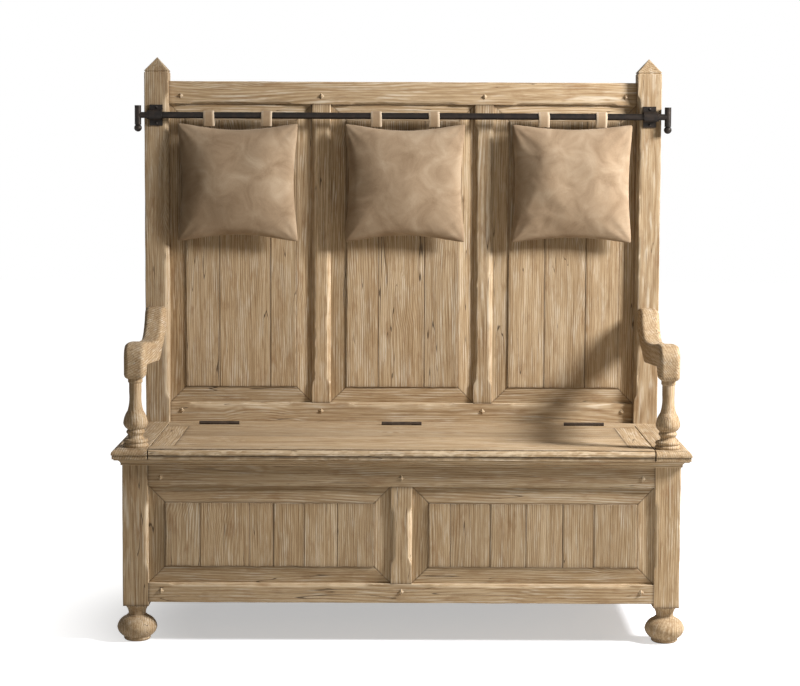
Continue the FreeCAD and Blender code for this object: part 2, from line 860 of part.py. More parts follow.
# Section of a seat board with the moulded edge at one end: fillet, quirk and ovolo below a
# small top fillet. The moulded end stands at nose, and outwards is the sign towards it.
def moulded_section(nose, square_end, outwards, low):
    total = dim("seat_thickness")
    fillet = dim("edge_fillet_height")
    quirk = fillet + dim("edge_quirk_height")
    top = total - dim("edge_top_height")
    radius = dim("edge_ovolo_radius")
    fillet_end = nose - dim("edge_fillet_setback") * outwards
    quirk_end = nose - dim("edge_quirk_setback") * outwards
    top_end = nose - dim("edge_top_setback") * outwards
    return [
        (square_end, low),
        (fillet_end, low),
        (fillet_end, fillet),
        (quirk_end, fillet),
        (quirk_end, quirk),
        (nose, quirk),
        (nose, top - radius),
        (nose - radius * outwards, top, radius, outwards),
        (top_end, top),
        (top_end, total),
        (square_end, total),
    ]


# A fixed seat end: the meeting of a board moulded along its front with one moulded along
# its outer side, which mitres the two mouldings at the corner.
def seat_end(side):
    name = side_name(side)
    overhang = dim("nose_overhang")
    outer = (half_width + overhang) * side
    along = new_body("seat_end_front_" + name, zero, zero, frame_top, kept=False)
    start, end = outward(side, post_inner, half_width + overhang)
    profile = moulded_section(front - overhang, back, -1, zero)
    pad(along, "YZ", start, profile, end - start)
    start, end = outward(side, post_inner, half_width)
    box_cut(along, (start, back_post_front, zero), (end, back, dim("seat_thickness")))
    hole = Round(arm_centre * side, front + dim("baluster_setback"),
                 dim("baluster_spigot_diameter") / 2 + fit)
    depth = dim("baluster_spigot_length") + gap
    pocket(along, "XY", dim("seat_thickness") - depth, hole, depth)
    across = new_body("seat_end_side_" + name, zero, zero, frame_top, kept=False)
    profile = moulded_section(outer, post_inner * side, side, zero)
    pad(across, "XZ", front - overhang, profile, dim("frame_depth") + overhang)
    board = doc.addObject("Part::Common", "seat_end_" + name)
    board.Label = "seat_end_" + name
    board.Base = along
    board.Tool = across
    nodes[board.Label] = board


def leaf_recess(body, x, start, end):
    reach = dim("hinge_length") / 2 + fit
    low = seat_top - dim("leaf_depth") - fit
    box_cut(body, (x - reach, start, low), (x + reach, end, seat_top + gap))


def hinge_screw_holes(body, start, depth):
    for middle in hinge_places:
        for offset in screw_places:
            hole = Round(middle + offset, seat_top - dim("hinge_screw_drop"),
                         dim("hinge_screw_shank") / 2 + fit / 2)
            pocket(body, "XZ", start, hole, depth)


def hinge_rail():
    body = new_body("hinge_rail")
    near = seam_centre + dim("lid_seam") / 2
    section = rectangle(near, back_face, frame_top, seat_top)
    pad(body, "YZ", -post_inner, section, post_inner * 2)
    for x in hinge_places:
        leaf_recess(body, x, near, near + dim("leaf_thickness"))
    hinge_screw_holes(body, near + dim("leaf_thickness"), dim("hinge_screw_length") + gap)


# The lid is five boards held together by tongues: moulded front rail, rear rail that
# carries the hinges, field of boards, and a cross-grained clamp at each end.
def lid():
    low = dim("lid_rest_gap")
    top = dim("seat_thickness")
    nose = front - dim("nose_overhang")
    rear = seam_centre - dim("lid_seam") / 2
    front_edge = nose + dim("lid_front_rail_width")
    rear_edge = rear - dim("lid_rear_rail_width")
    tongue = dim("lid_tongue_reach")
    tongue_half = dim("lid_tongue_thickness") / 2
    middle = (low + top) / 2
    field_half = lid_half - dim("lid_end_width")
    run = lid_half * 2

    rail = new_body("lid_front_rail", zero, zero, frame_top)
    pad(rail, "YZ", -lid_half, moulded_section(nose, front_edge, -1, low), run)
    slot = rectangle(front_edge - tongue - gap, front_edge, middle - tongue_half - fit,
                     middle + tongue_half + fit)
    pocket(rail, "YZ", -lid_half, slot, run)

    rail = new_body("lid_rear_rail")
    pad(rail, "YZ", -lid_half, rectangle(rear_edge, rear, frame_top + low, seat_top), run)
    slot = rectangle(rear_edge, rear_edge + tongue + gap, frame_top + middle - tongue_half - fit,
                     frame_top + middle + tongue_half + fit)
    pocket(rail, "YZ", -lid_half, slot, run)
    for x in hinge_places:
        leaf_recess(rail, x, rear - dim("leaf_thickness"), rear)
    depth = dim("hinge_screw_length") + gap
    hinge_screw_holes(rail, rear - dim("leaf_thickness") - depth, depth)

    board = new_body("lid_board", zero, zero, frame_top)
    pad(board, "XY", low, rectangle(-field_half, field_half, front_edge, rear_edge), top - low)
    thick = tongue_half * 2
    level = middle - tongue_half
    ends = rectangle(-(field_half + tongue), field_half + tongue, front_edge, rear_edge)
    pad(board, "XY", level, ends, thick)
    sides = rectangle(-field_half, field_half, front_edge - tongue, rear_edge + tongue)
    pad(board, "XY", level, sides, thick)

    for side in (-1, 1):
        clamp = new_body("lid_end_" + side_name(side), zero, zero, frame_top)
        start, end = outward(side, field_half, lid_half)
        pad(clamp, "XY", low, rectangle(start, end, front_edge, rear_edge), top - low)
        tongue_start, tongue_end = outward(side, field_half + tongue + gap, lid_half)
        sides = rectangle(tongue_start, tongue_end, front_edge - tongue, rear_edge + tongue)
        pad(clamp, "XY", level, sides, thick)
        start, end = outward(side, field_half, field_half + tongue + gap)
        slot = rectangle(start, end, front_edge, rear_edge)
        pocket(clamp, "XY", level - fit, slot, thick + fit * 2)


# Butt hinges let into the seam. The case leaf carries the two outer knuckles and the lid
# leaf the middle one. Each is modelled about the pin's axis and copied to its places.
def hinges():
    axis_to_top = dim("hinge_axis_rise")
    half = dim("hinge_length") / 2
    middle_half = dim("middle_knuckle_length") / 2
    clear = dim("knuckle_gap")
    radius = dim("knuckle_diameter") / 2
    low = -(axis_to_top + dim("leaf_depth"))
    notch = -(radius + dim("leaf_relief"))
    bore = dim("pin_diameter") / 2 + dim("pin_running_fit")
    near = dim("lid_seam") / 2
    leaf = dim("leaf_thickness")
    spans = {
        "case": [(-half, -(middle_half + clear)), (middle_half + clear, half)],
        "lid": [(-middle_half, middle_half)],
    }
    outlines = {
        "case": [(-half, low), (half, low), (half, 0), (middle_half + clear, 0),
                 (middle_half + clear, notch), (-(middle_half + clear), notch),
                 (-(middle_half + clear), 0), (-half, 0)],
        "lid": [(-half, low), (half, low), (half, notch), (middle_half, notch),
                (middle_half, 0), (-middle_half, 0), (-middle_half, notch), (-half, notch)],
    }
    starts = {"case": near, "lid": -(near + leaf)}
    for name in ("case", "lid"):
        body = new_body("hinge_leaf_" + name, kept=False)
        pad(body, "XZ", starts[name], outlines[name], leaf)
        for start, end in spans[name]:
            pad(body, "YZ", start, Round(zero, zero, radius), end - start)
        pocket(body, "YZ", -half, Round(zero, zero, bore), half * 2)
        for offset in screw_places:
            hole = Round(offset, -(axis_to_top + dim("hinge_screw_drop")),
                         dim("hinge_screw_head") / 2 + fit / 2)
            pocket(body, "XZ", starts[name], hole, leaf)
        group("hinge_%s_leaves" % name, [
            copy_at(body, "%s_leaf" % name, x, seam_centre, hinge_axis_height)
            for x in hinge_places])
    pin = new_body("hinge_pin", kept=False)
    pad(pin, "YZ", -half, Round(zero, zero, dim("pin_diameter") / 2), half * 2)
    group("hinge_pins", [copy_at(pin, "pin", x, seam_centre, hinge_axis_height)
                         for x in hinge_places])
    hinge_screws("case", near, 1)
    hinge_screws("lid", -near, -1)


# Screws driven into the wood behind each leaf; the head fills the hole in the leaf.
def hinge_screws(name, face, direction):
    body = new_body("hinge_screw_" + name, kept=False)
    leaf = dim("leaf_thickness")
    length = dim("hinge_screw_length")
    head_start, shank_start = (zero, leaf) if direction > 0 else (-leaf, -(leaf + length))
    pad(body, "XZ", head_start, Round(zero, zero, dim("hinge_screw_head") / 2), leaf)
    pad(body, "XZ", shank_start, Round(zero, zero, dim("hinge_screw_shank") / 2), length)
    height = seat_top - dim("hinge_screw_drop")
    group("hinge_%s_screws" % name, [
        copy_at(body, "%s_screw" % name, middle + offset, seam_centre + face, height)
        for middle in hinge_places for offset in screw_places])


# An arm in side view. reach is measured forwards from the face of the back post and
# height from the seat. The top steps down from a shoulder into a scooped waist.
def arm(side):
    body = new_body("arm_" + side_name(side), arm_centre * side,
                    back_post_front, seat_top)
    width = dim("arm_width")
    length = dim("frame_depth") - post + dim("arm_nose_overhang")
    shoulder_height = dim("arm_shoulder_height")
    shoulder_radius = dim("arm_shoulder_radius")
    shoulder_reach = dim("arm_shoulder_reach")
    waist = dim("arm_waist_height")
    waist_reach = dim("arm_waist_reach")
    crest = dim("arm_front_height")
    roll = dim("arm_front_radius")
    depth = dim("arm_depth")
    block_low = dim("arm_block_height")
    block_back = length - dim("arm_block_length")
    nose = dim("arm_nose_radius")
    throat = dim("arm_throat_radius")
    throat_top = block_low + dim("arm_throat_rise")
    rear_low = shoulder_height - dim("arm_rear_depth")
    scoop_reach = dim("arm_scoop_reach")
    path = [
        (0, rear_low),
        (0, shoulder_height),
        (-shoulder_reach, shoulder_height),
    ]
    path += double_curve(shoulder_reach, shoulder_height, scoop_reach, waist,
                         shoulder_radius, 1)
    path += double_curve(scoop_reach, waist, length - roll, crest,
                         dim("arm_waist_radius"), -1)
    path += [
        (-length, crest - roll, roll, 1),
        (-length, block_low + nose),
        (-(length - nose), block_low, nose, 1),
        (-block_back, block_low),
        (-(block_back - throat), throat_top, dim("arm_throat_sweep"), -1),
        (-waist_reach, waist - depth),
        (-(waist_reach - dim("arm_under_reach")), waist - dim("arm_under_drop"),
         dim("arm_under_radius"), 1),
    ]
    blank = pad(body, "YZ", -width / 2, path, width)
    doc.recompute()
    crown = body.newObject("PartDesign::Fillet", body.Label + "_crown")
    crown.Base = (blank, upper_side_edges(blank.Shape, width.number / 2))
    bind(crown, "Radius", dim("arm_crown"))
    doc.recompute()
    low, high = arm_tenon_span()
    reach = dim("tenon_thickness") / 2
    tenon = rectangle(-reach, reach, low - seat_top, high - seat_top)
    pad(body, "XZ", zero, tenon, tenon_reach)
    hole = Round(zero, dim("baluster_setback") + front - back_post_front,
                 dim("baluster_spigot_diameter") / 2 + fit)
    pocket(body, "XY", block_low, hole, dim("baluster_spigot_length") + gap)


# Two arcs that meet smoothly and leave and arrive level: the first has the given radius,
# and the second has what is left of the radius that spans the two points.
def double_curve(start_reach, start_height, end_reach, end_height, radius, turn):
    run = end_reach - start_reach
    fall = (start_height - end_height) * turn
    both = (run * run + fall * fall) / (fall * 2)
    middle_reach = start_reach + run * radius / both
    middle_height = start_height - fall * turn * radius / both
    return [(-middle_reach, middle_height, radius, turn),
            (-end_reach, end_height, both - radius, -turn)]


# Names of the edges that lie in the two side faces and bound an upward-facing surface
def upper_side_edges(shape, half):
    names = []
    for index, edge in enumerate(shape.Edges, start=1):
        if any(abs(abs(vertex.X) - half) > 0.01 for vertex in edge.Vertexes):
            continue
        if abs(edge.Vertexes[0].X - edge.Vertexes[-1].X) > 0.01:
            continue
        middle = edge.valueAt((edge.FirstParameter + edge.LastParameter) / 2)
        for face in shape.ancestorsOfType(edge, Part.Face):
            u, v = face.Surface.parameter(middle)
            if face.normalAt(u, v).z > 0.05:
                names.append("Edge%d" % index)
    return names


# A turned arm post between the seat end and the arm's front block
def baluster(side):
    body = new_body("baluster_" + side_name(side), arm_centre * side,
                    front + dim("baluster_setback"), seat_top)
    height = dim("arm_block_height")
    base = dim("baluster_base_diameter") / 2
    base_top = dim("baluster_base_height")
    neck = dim("baluster_neck_diameter") / 2
    ring = dim("baluster_ring_diameter") / 2
    bulb = dim("baluster_bulb_diameter") / 2
    waist = dim("baluster_waist_diameter") / 2
    top = dim("baluster_top_diameter") / 2
    spigot = dim("baluster_spigot_diameter") / 2
    reach = dim("baluster_spigot_length")
    lip = dim("baluster_base_lip")
    fillet = dim("baluster_fillet")
    bead = (base_top - lip) / 2
    ring_low = base_top + dim("baluster_ring_rise")
    ring_height = dim("baluster_ring_height")
    bulb_low = ring_low + ring_height + dim("baluster_ring_gap")
    bulb_middle = bulb_low + dim("baluster_bulb_rise")
    cap_low = height - dim("baluster_cap_height")
    turning(body, [
        (0, -reach),
        (spigot, -reach),
        (spigot, 0),
        (base, 0),
        (base, bead, bead * bead_fullness, 1),
        (base - lip, bead),
        (base - lip, bead + lip),
        (base - lip / 2, bead + lip),
        (base - lip / 2, base_top, bead * bead_fullness, 1),
        (base - dim("baluster_base_inset"), base_top),
        (neck, base_top + dim("baluster_cove_rise"), dim("baluster_cove_radius"), -1),
        (ring - fillet / 2, ring_low),
        (ring - fillet / 2, ring_low + ring_height, ring_height * bead_fullness, 1),
        (neck + fillet, bulb_low),
        (bulb, bulb_middle, dim("baluster_bulb_radius"), 1),
        (neck + fillet, bulb_middle + dim("baluster_shoulder_rise"),
         dim("baluster_shoulder_radius"), 1),
        (waist, height - dim("baluster_waist_drop"), dim("baluster_waist_radius"), -1),
        (waist, cap_low - fillet),
        (top, cap_low),
        (top, height),
        (spigot, height),
        (spigot, height + reach),
        (0, height + reach),
    ])


# The iron bar turns in a saddle bracket screwed to the front of each back post.
def bar_hardware():
    radius = dim("bar_diameter") / 2
    axis = -dim("bar_standoff")
    half_width_x = dim("bracket_width") / 2
    half_height = dim("bracket_height") / 2
    plate = dim("bracket_plate")
    barrel = dim("bracket_barrel_diameter") / 2
    bore = radius + dim("bar_running_fit")
    body = new_body("bar_bracket", kept=False)
    shape = rectangle(-half_width_x, half_width_x, -half_height, half_height)
    pad(body, "XZ", -plate, shape, plate)
    pad(body, "YZ", -half_width_x, Round(axis, zero, least(barrel, dim("bar_standoff"))),
        half_width_x * 2)
    pocket(body, "YZ", -half_width_x, Round(axis, zero, bore), half_width_x * 2)
    half_spread = dim("bracket_screw_spread") / 2
    shank = dim("bracket_screw_shank") / 2
    for height in (-half_spread, half_spread):
        pocket(body, "XZ", -plate, Round(zero, height, shank + fit / 2), plate)
    group("bar_brackets", [copy_at(body, "bracket", post_centre * side, back_post_front, bar_z)
                           for side in (-1, 1)])

    screw = new_body("bracket_screw", kept=False)
    head = dim("bracket_screw_head") / 2
    dome = dim("bracket_screw_dome")
    length = dim("bracket_screw_length")
    turning(screw, [
        (0, -(plate + dome)),
        (head, -plate, head * 1.4, 1),
        (shank, -plate),
        (shank, length),
        (0, length),
    ], "XY")
    group("bracket_screws", [
        copy_at(screw, "post_screw", post_centre * side, back_post_front, height)
        for side in (-1, 1) for height in bracket_screw_heights()])

    rod = new_body("bar_rod", zero, bar_y, bar_z)
    full = post_centre + half_width_x + dim("finial_gap")
    tip = full + dim("bar_end_length")
    small = dim("bar_end_diameter") / 2
    turning(rod, [
        (-tip, 0), (tip, 0), (tip, small), (full, small), (full, radius), (-full, radius),
        (-full, small), (-tip, small),
    ], "XY", "H_Axis")

    group("bar_finials", [finial(side, full, tip) for side in (-1, 1)])


# An upright hammered barrel with a ball below, joined to the bar by a ringed neck
def finial(side, neck_start, bar_tip):
    body = new_body("finial_" + side_name(side), zero, bar_y, bar_z, kept=False)
    reach = half_width + dim("finial_stand")
    middle = reach * side
    radius = dim("finial_diameter") / 2
    half = dim("finial_length") / 2
    ball = dim("finial_ball_diameter") / 2
    ring = dim("finial_ring_diameter") / 2
    neck = dim("finial_neck_diameter") / 2
    start, end = outward(side, neck_start, reach)
    pad(body, "YZ", start, Round(zero, zero, neck), end - start)
    start, end = outward(side, neck_start, neck_start + dim("finial_ring_length"))
    pad(body, "YZ", start, Round(zero, zero, ring), end - start)
    pad(body, "XY", -half, Round(middle, zero, radius), half * 2)
    doc.recompute()
    sphere = body.newObject("PartDesign::AdditiveSphere", body.Label + "_ball")
    bind(sphere, "Radius", ball)
    bind(sphere, "AttachmentOffset.Base.x", middle)
    bind(sphere, "AttachmentOffset.Base.z", -(half + dim("finial_ball_drop")))
    attach(sphere, body, "XY")
    start, end = outward(side, neck_start, bar_tip + gap)
    pocket(body, "YZ", start, Round(zero, zero, dim("bar_end_diameter") / 2 + fit / 2), end - start)
    return body


# Two leather loops go round the bar and are sewn to the cushion's top seam.
def cushion_loops(name, x):
    bar = dim("bar_diameter") / 2
    inner = bar + dim("loop_slack")
    leather = dim("loop_leather")
    width = dim("loop_width")
    low = -(dim("cushion_hinge_drop") - dim("loop_end_gap"))
    members = []
    for side in (-1, 1):
        label = "loop_%s_%s" % (name, side_name(side))
        middle = x + dim("loop_pitch") / 2 * side
        body = new_body(label, middle - width / 2, bar_y, bar_z, kept=False)
        pad(body, "YZ", zero, Round(zero, zero, inner + leather), width)
        pad(body, "YZ", zero, rectangle(-leather, leather, low, -inner), width)
        pocket(body, "YZ", zero, Round(zero, zero, inner), width)
        members.append(body)
    group("cushion_loops_" + name, members)


# A plain knife-edged pad with pulled-in sides. Its thickness is given by two ruled lofts
# from the seam outline to a smaller one on each face.
def cushion(name, x):
    top = bar_z - dim("cushion_hinge_drop") - dim("cushion_hinge_gap")
    body = new_body("cushion_" + name, x, bar_y, top)
    half = dim("cushion_width") / 2
    height = dim("cushion_height")
    edge = dim("cushion_edge") / 2
    crown = dim("cushion_thickness") / 2
    inset = dim("cushion_crown_inset")
    waist = dim("cushion_waist")

    def pillow(shrink, dip):
        side = half - shrink
        low = shrink - height
        high = -shrink
        width_radius = arch_radius(side, dip)
        height_radius = arch_radius((height - shrink * 2) / 2, dip)
        return [
            (-side, low, height_radius, -1),
            (side, low, width_radius, -1),
            (side, high, height_radius, -1),
            (-side, high, width_radius, -1),
        ]

    def arch_radius(half_chord, dip):
        return (half_chord * half_chord + dip * dip) / (dip * 2)

    shape = pillow(zero, waist)
    crowned = pillow(inset, waist / 2)
    pad(body, "XZ", -edge, shape, edge * 2)
    loft(body, "XZ", [(edge, shape), (crown, crowned)])
    loft(body, "XZ", [(-edge, shape), (-crown, crowned)])


def pegs():
    body = new_body("joint_peg", kept=False)
    half = dim("peg_square") / 2 * (2 ** 0.5)
    diamond = [(-half, 0), (0, -half), (half, 0), (0, half)]
    tip = dim("chamfer_nib")
    small = [(-tip, 0), (0, -tip), (tip, 0), (0, tip)]
    shank = Round(zero, zero, dim("peg_shank_diameter") / 2)
    pad(body, "XZ", zero, shank, dim("peg_shank_length"))
    loft(body, "XZ", [(zero, diamond), (-dim("peg_rise"), small)])
    end = post_inner - dim("peg_inset")
    rows = [
        (back_face, crest_low + dim("crest_peg_height"), [-end] + back_muntins + [end]),
        (back_face, seat_rail_low + dim("seat_peg_height"), [-end] + back_muntins + [end]),
        (front, top_rail_low + dim("front_top_peg_height"), [-end, zero, end]),
        (front, bottom_rail_low + dim("front_bottom_peg_height"), [-end, zero, end]),
    ]
    group("joint_pegs", [copy_at(body, "peg", x, y, z) for y, z, places in rows
                         for x in places])


for side in (-1, 1):
    front_post(side)
    back_post(side)
    for place, y in (("front", front + post / 2), ("back", back - post / 2)):
        foot("foot_%s_%s" % (place, side_name(side)), post_centre * side, y)
back_frame()
front_frame()
for side in (-1, 1):
    end_frame(side)
box_floor()
cleats()
coves()
for side in (-1, 1):
    seat_end(side)
hinge_rail()
lid()
hinges()
for side in (-1, 1):
    arm(side)
    baluster(side)
bar_hardware()
for name, place in (("left", -1), ("centre", 0), ("right", 1)):
    middle = (post_inner - dim("cushion_post_distance")) * place + dim("cushion_shift")
    cushion_loops(name, middle)
    cushion(name, middle)
pegs()
doc.recompute()

faults = [item.Label for item in doc.Objects if "Invalid" in item.State or "Error" in item.State]
for label, node in nodes.items():
    if node.Shape.isNull() or not node.Shape.isValid() or not node.Shape.Solids:
        faults.append(label)
if faults:
    raise RuntimeError("not built: " + ", ".join(faults))

os.makedirs("parts", exist_ok=True)
for label, node in nodes.items():
    node.Shape.exportStep("parts/%s.step" % label)
print("%d nodes written" % len(nodes))
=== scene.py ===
import math
from functools import partial
import bmesh
import bpy
import numpy as np
from mathutils import Matrix, Vector


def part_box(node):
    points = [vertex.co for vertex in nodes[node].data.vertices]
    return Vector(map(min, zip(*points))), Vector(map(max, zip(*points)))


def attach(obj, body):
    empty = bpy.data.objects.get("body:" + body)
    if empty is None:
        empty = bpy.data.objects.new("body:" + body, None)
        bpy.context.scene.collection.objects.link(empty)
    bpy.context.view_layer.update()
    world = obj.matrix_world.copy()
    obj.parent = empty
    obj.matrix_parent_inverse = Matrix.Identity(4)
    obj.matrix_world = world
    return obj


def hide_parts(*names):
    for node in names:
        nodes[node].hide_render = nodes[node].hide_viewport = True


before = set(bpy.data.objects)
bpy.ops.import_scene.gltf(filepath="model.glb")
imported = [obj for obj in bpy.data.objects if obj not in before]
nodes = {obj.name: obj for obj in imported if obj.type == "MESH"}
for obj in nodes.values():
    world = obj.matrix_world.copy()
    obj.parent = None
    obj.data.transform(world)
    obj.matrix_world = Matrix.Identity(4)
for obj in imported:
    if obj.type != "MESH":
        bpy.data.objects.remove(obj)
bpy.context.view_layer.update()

# Settle bench in limed oak: worn framing, fielded panels, suede cushions on an iron bar.
# Metres. X to the right, Z up, the bench faces -Y.
mm = 0.001
scene = bpy.context.scene
sides = {"left": -1, "right": 1}


def seedOf(name):  # a whole number that always comes out the same for a name
    return sum((place + 7) * ord(letter) for place, letter in enumerate(name)) % 99991


def ease(t):  # 0 below 0, 1 above 1, and a smooth S between
    t = np.clip(t, 0, 1)
    return t * t * (3 - 2 * t)


def wander(x, step, seed):  # smooth line between random heights of -1 to 1, one every step
    heights = np.random.default_rng(seed).uniform(-1, 1, 2048)
    t = np.asarray(x) / step + 700
    whole = np.floor(t).astype(int)
    part = ease(t - whole)
    return heights[whole % 2048] * (1 - part) + heights[(whole + 1) % 2048] * part


def ripple(u, v, stepU, stepV, seed):  # the same over two directions: a smooth bumpy sheet
    heights = np.random.default_rng(seed).uniform(-1, 1, (256, 256))
    a, b = np.asarray(u) / stepU + 900, np.asarray(v) / stepV + 900
    i, j = np.floor(a).astype(int), np.floor(b).astype(int)
    p, q = ease(a - i), ease(b - j)
    near = heights[i % 256, j % 256] * (1 - p) + heights[(i + 1) % 256, j % 256] * p
    far = heights[i % 256, (j + 1) % 256] * (1 - p) + heights[(i + 1) % 256, (j + 1) % 256] * p
    return near * (1 - q) + far * q


def linear(hexText):  # sRGB hex to the linear colour of a socket
    channels = [int(hexText[k:k + 2], 16) / 255 for k in (0, 2, 4)]
    return [c / 12.92 if c <= 0.04045 else ((c + 0.055) / 1.055) ** 2.4 for c in channels] + [1.0]


def addNode(tree, kind, links=None, stops=None, **settings):
    node = tree.nodes.new("ShaderNode" + kind)
    for key, value in settings.items():
        setattr(node, key, value)
    if stops:
        ramp = node.color_ramp
        for element, stop in ((ramp.elements[0], stops[0]), (ramp.elements[1], stops[-1])):
            element.position, element.color = stop[0], linear(stop[1])
        for place, colour in stops[1:-1]:
            ramp.elements.new(place).color = linear(colour)
    for key, value in (links or {}).items():
        if isinstance(value, bpy.types.NodeSocket):
            tree.links.new(value, node.inputs[key])
        else:
            node.inputs[key].default_value = value
    return node


def newMaterial(name):
    material = bpy.data.materials.new(name)
    material.use_nodes = True
    material.node_tree.nodes.clear()
    return material, partial(addNode, material.node_tree)


# Oak that was wire-brushed, limed and waxed: the eye sees short straight streaks a millimetre
# or two wide, white lime lying along the growth lines, brown patches and small knots that
# the lines bend round, hairline cracks, pale bare wood where edges are rubbed, and painted
# shade, with some grime, in joints, grooves and recesses.
# the grime colour is painted shade in joints, grooves and recesses, with some real grime
oak = {
    "light": "BFAD92", "middle": "A48E70", "dark": "826A4C", "warm": "86694A", "lime": "D2CBBD",
    "rubbed": "D6C8B0", "knot": "4A3524", "crack": "3A2C1F", "shadeAndGrime": "3E2F20",
    "ringPitch": 5.2 * mm,
    # across, deep and along the grain in millimetres, then detail and roughness
    "patterns": {
        "arch": ((90, 90, 520), 1.0, 0.5),
        "fibre": ((1.3, 1.3, 70), 3.0, 0.62),
        "streak": ((4.5, 4.5, 210), 3.0, 0.55),
        "tone": ((34, 34, 330), 2.0, 0.5),
        "patch": ((24, 24, 75), 4.0, 0.62),
        "wash": ((13, 13, 90), 3.0, 0.6),
        "crack": ((23, 23, 500), 1.5, 0.5),
        "dent": ((11, 11, 26), 2.0, 0.5),
    },
}


def limedOak(name, along=None, shift=(0.0, 0.0, 0.0)):
    material, put = newMaterial(name)

    def remap(value, low, high, start, end):
        return put("MapRange", {0: value, 1: low, 2: high, 3: start, 4: end}).outputs[0]

    def maths(operation, *values):
        return put("Math", dict(enumerate(values)), operation=operation).outputs[0]

    # this attribute holds rubbed wear, then painted shade with some real grime in joints, grooves and
    # recesses, then tone
    finishAndShade = put("Attribute", attribute_name="finishAndShade").outputs["Vector"]
    wear, shadeAndGrime, tone = put("SeparateXYZ", {0: finishAndShade}).outputs
    if along is None:
        place = put("Attribute", attribute_name="grain").outputs["Vector"]
        normal = put("NewGeometry").outputs["Normal"]
        rub = wear
    else:
        turn = {"x": (0, math.pi / 2, 0), "y": (math.pi / 2, 0, 0), "z": (0, 0, 0)}[along]
        spot = put("TexCoord").outputs["Object"]
        place = put("Mapping", {"Vector": spot, "Rotation": turn, "Location": shift}).outputs[0]
        # arrises of the plain solids are rounded and rubbed by a bevel in the shading
        normal = put("Bevel", {"Radius": 2.2 * mm}, samples=6).outputs[0]
        facing = put("NewGeometry").outputs["True Normal"]
        level = put("VectorMath", {0: normal, 1: facing}, operation="DOT_PRODUCT").outputs["Value"]
        rub = remap(level, 0.985, 0.8, 0.0, 0.75)
    slow = put("VectorMath", {0: place, 1: (9, 9, 1.8)}, operation="MULTIPLY").outputs[0]
    sway = put("TexNoise", {"Vector": slow, "Scale": 1.0, "Detail": 1.0}).outputs["Color"]
    sway = put("VectorMath", {0: sway, 1: (0.5, 0.5, 0.5)}, operation="SUBTRACT").outputs[0]
    bent = put("VectorMath", {0: sway, 1: (0.007, 0.007, 0.0), 2: place}, operation="MULTIPLY_ADD").outputs[0]
    field = {}
    for key, (sizes, detail, roughness) in oak["patterns"].items():
        scale = [1000 / size for size in sizes]
        stretched = put("VectorMath", {0: bent, 1: scale}, operation="MULTIPLY").outputs[0]
        noise = {"Vector": stretched, "Scale": 1.0, "Detail": detail, "Roughness": roughness}
        field[key] = put("TexNoise", noise).outputs[0]
    # a knot stands in some of the cells of a coarse random division of the plank
    cells = put("VectorMath", {0: bent, 1: (6.5, 6.5, 3.2)}, operation="MULTIPLY").outputs[0]
    division = put("TexVoronoi", {"Vector": cells, "Scale": 1.0, "Randomness": 1.0})
    chosen = remap(put("SeparateColor", {0: division.outputs["Color"]}).outputs[0], 0.6, 0.62, 1.0, 0.0)
    knot = maths("ADD", division.outputs["Distance"], chosen)
    lift = remap(knot, 0.0, 0.42, 0.035, 0.0)
    # growth lines: the distance from the tree's heart, bent by slow noise and by knots
    flat = put("VectorMath", {0: bent, 1: (1, 1, 0)}, operation="MULTIPLY").outputs[0]
    radius = put("VectorMath", {0: flat}, operation="LENGTH").outputs["Value"]
    radius = maths("MULTIPLY_ADD", field["arch"], 0.04, radius)
    radius = maths("ADD", radius, lift)
    phase = maths("MULTIPLY", radius, 2 * math.pi / oak["ringPitch"])
    phase = maths("MULTIPLY_ADD", field["fibre"], 2.6, phase)
    rings = remap(maths("SINE", phase), -0.9, 1.0, 0.0, 1.0)
    grain = maths("MULTIPLY", field["fibre"], 0.38)
    for part, share in ((field["streak"], 0.34), (field["tone"], 0.2), (rings, 0.08)):
        grain = maths("MULTIPLY_ADD", part, share, grain)
    stops = [(0.36, oak["dark"]), (0.48, oak["middle"]), (0.61, oak["light"])]
    colour = put("ValToRGB", {0: grain}, stops=stops).outputs[0]
    washed = remap(field["wash"], 0.5, 0.7, 0.0, 0.75)
    ridge = maths("ABSOLUTE", maths("SUBTRACT", field["crack"], 0.5))
    split = remap(ridge, 0.006, 0.002, 0.0, 1.0)
    masks = {
        "warm": remap(field["patch"], 0.54, 0.7, 0.0, 0.6),
        "lime": maths("MULTIPLY", washed, remap(rings, 0.2, 0.9, 0.1, 1.0)),
        "pale": remap(field["fibre"], 0.58, 0.7, 0.0, 0.4),
        "dull": remap(field["fibre"], 0.42, 0.32, 0.0, 0.45),
        "knot": remap(knot, 0.085, 0.02, 0.0, 0.9),
        "crack": maths("MULTIPLY", split, remap(field["tone"], 0.5, 0.56, 0.0, 0.8)),
        "rubbed": maths("MULTIPLY", rub, remap(field["fibre"], 0.35, 0.6, 0.35, 1.0)),
        "shadeAndGrime": shadeAndGrime,
    }
    # the last layer paints shade, with some grime, into joints, grooves and recesses
    layers = (("warm", "warm"), ("lime", "lime"), ("pale", "lime"), ("dull", "dark"), ("knot", "knot"),
              ("crack", "crack"), ("rubbed", "rubbed"), ("shadeAndGrime", "shadeAndGrime"))
    for mask, coat in layers:
        mix = put("Mix", {0: masks[mask], 6: colour, 7: linear(oak[coat])}, data_type="RGBA")
        colour = mix.outputs[2]
    value = maths("MULTIPLY_ADD", tone, 0.13, 1.0)
    colour = put("HueSaturation", {"Color": colour, "Value": value}).outputs[0]
    height = maths("MULTIPLY", masks["crack"], -1.6)
    for part, share in ((field["fibre"], 0.9), (field["streak"], 0.5), (rings, 0.22), (field["dent"], 0.7)):
        height = maths("MULTIPLY_ADD", part, share, height)
    bump = put("Bump", {"Height": height, "Strength": 0.5, "Distance": 1.0 * mm, "Normal": normal}).outputs[0]
    rough = remap(field["wash"], 0.3, 0.7, 0.62, 0.8)
    shader = put("BsdfPrincipled", {"Base Color": colour, "Roughness": rough, "Normal": bump,
                                    "Specular IOR Level": 0.3})
    put("OutputMaterial", {0: shader.outputs[0]})
    return material


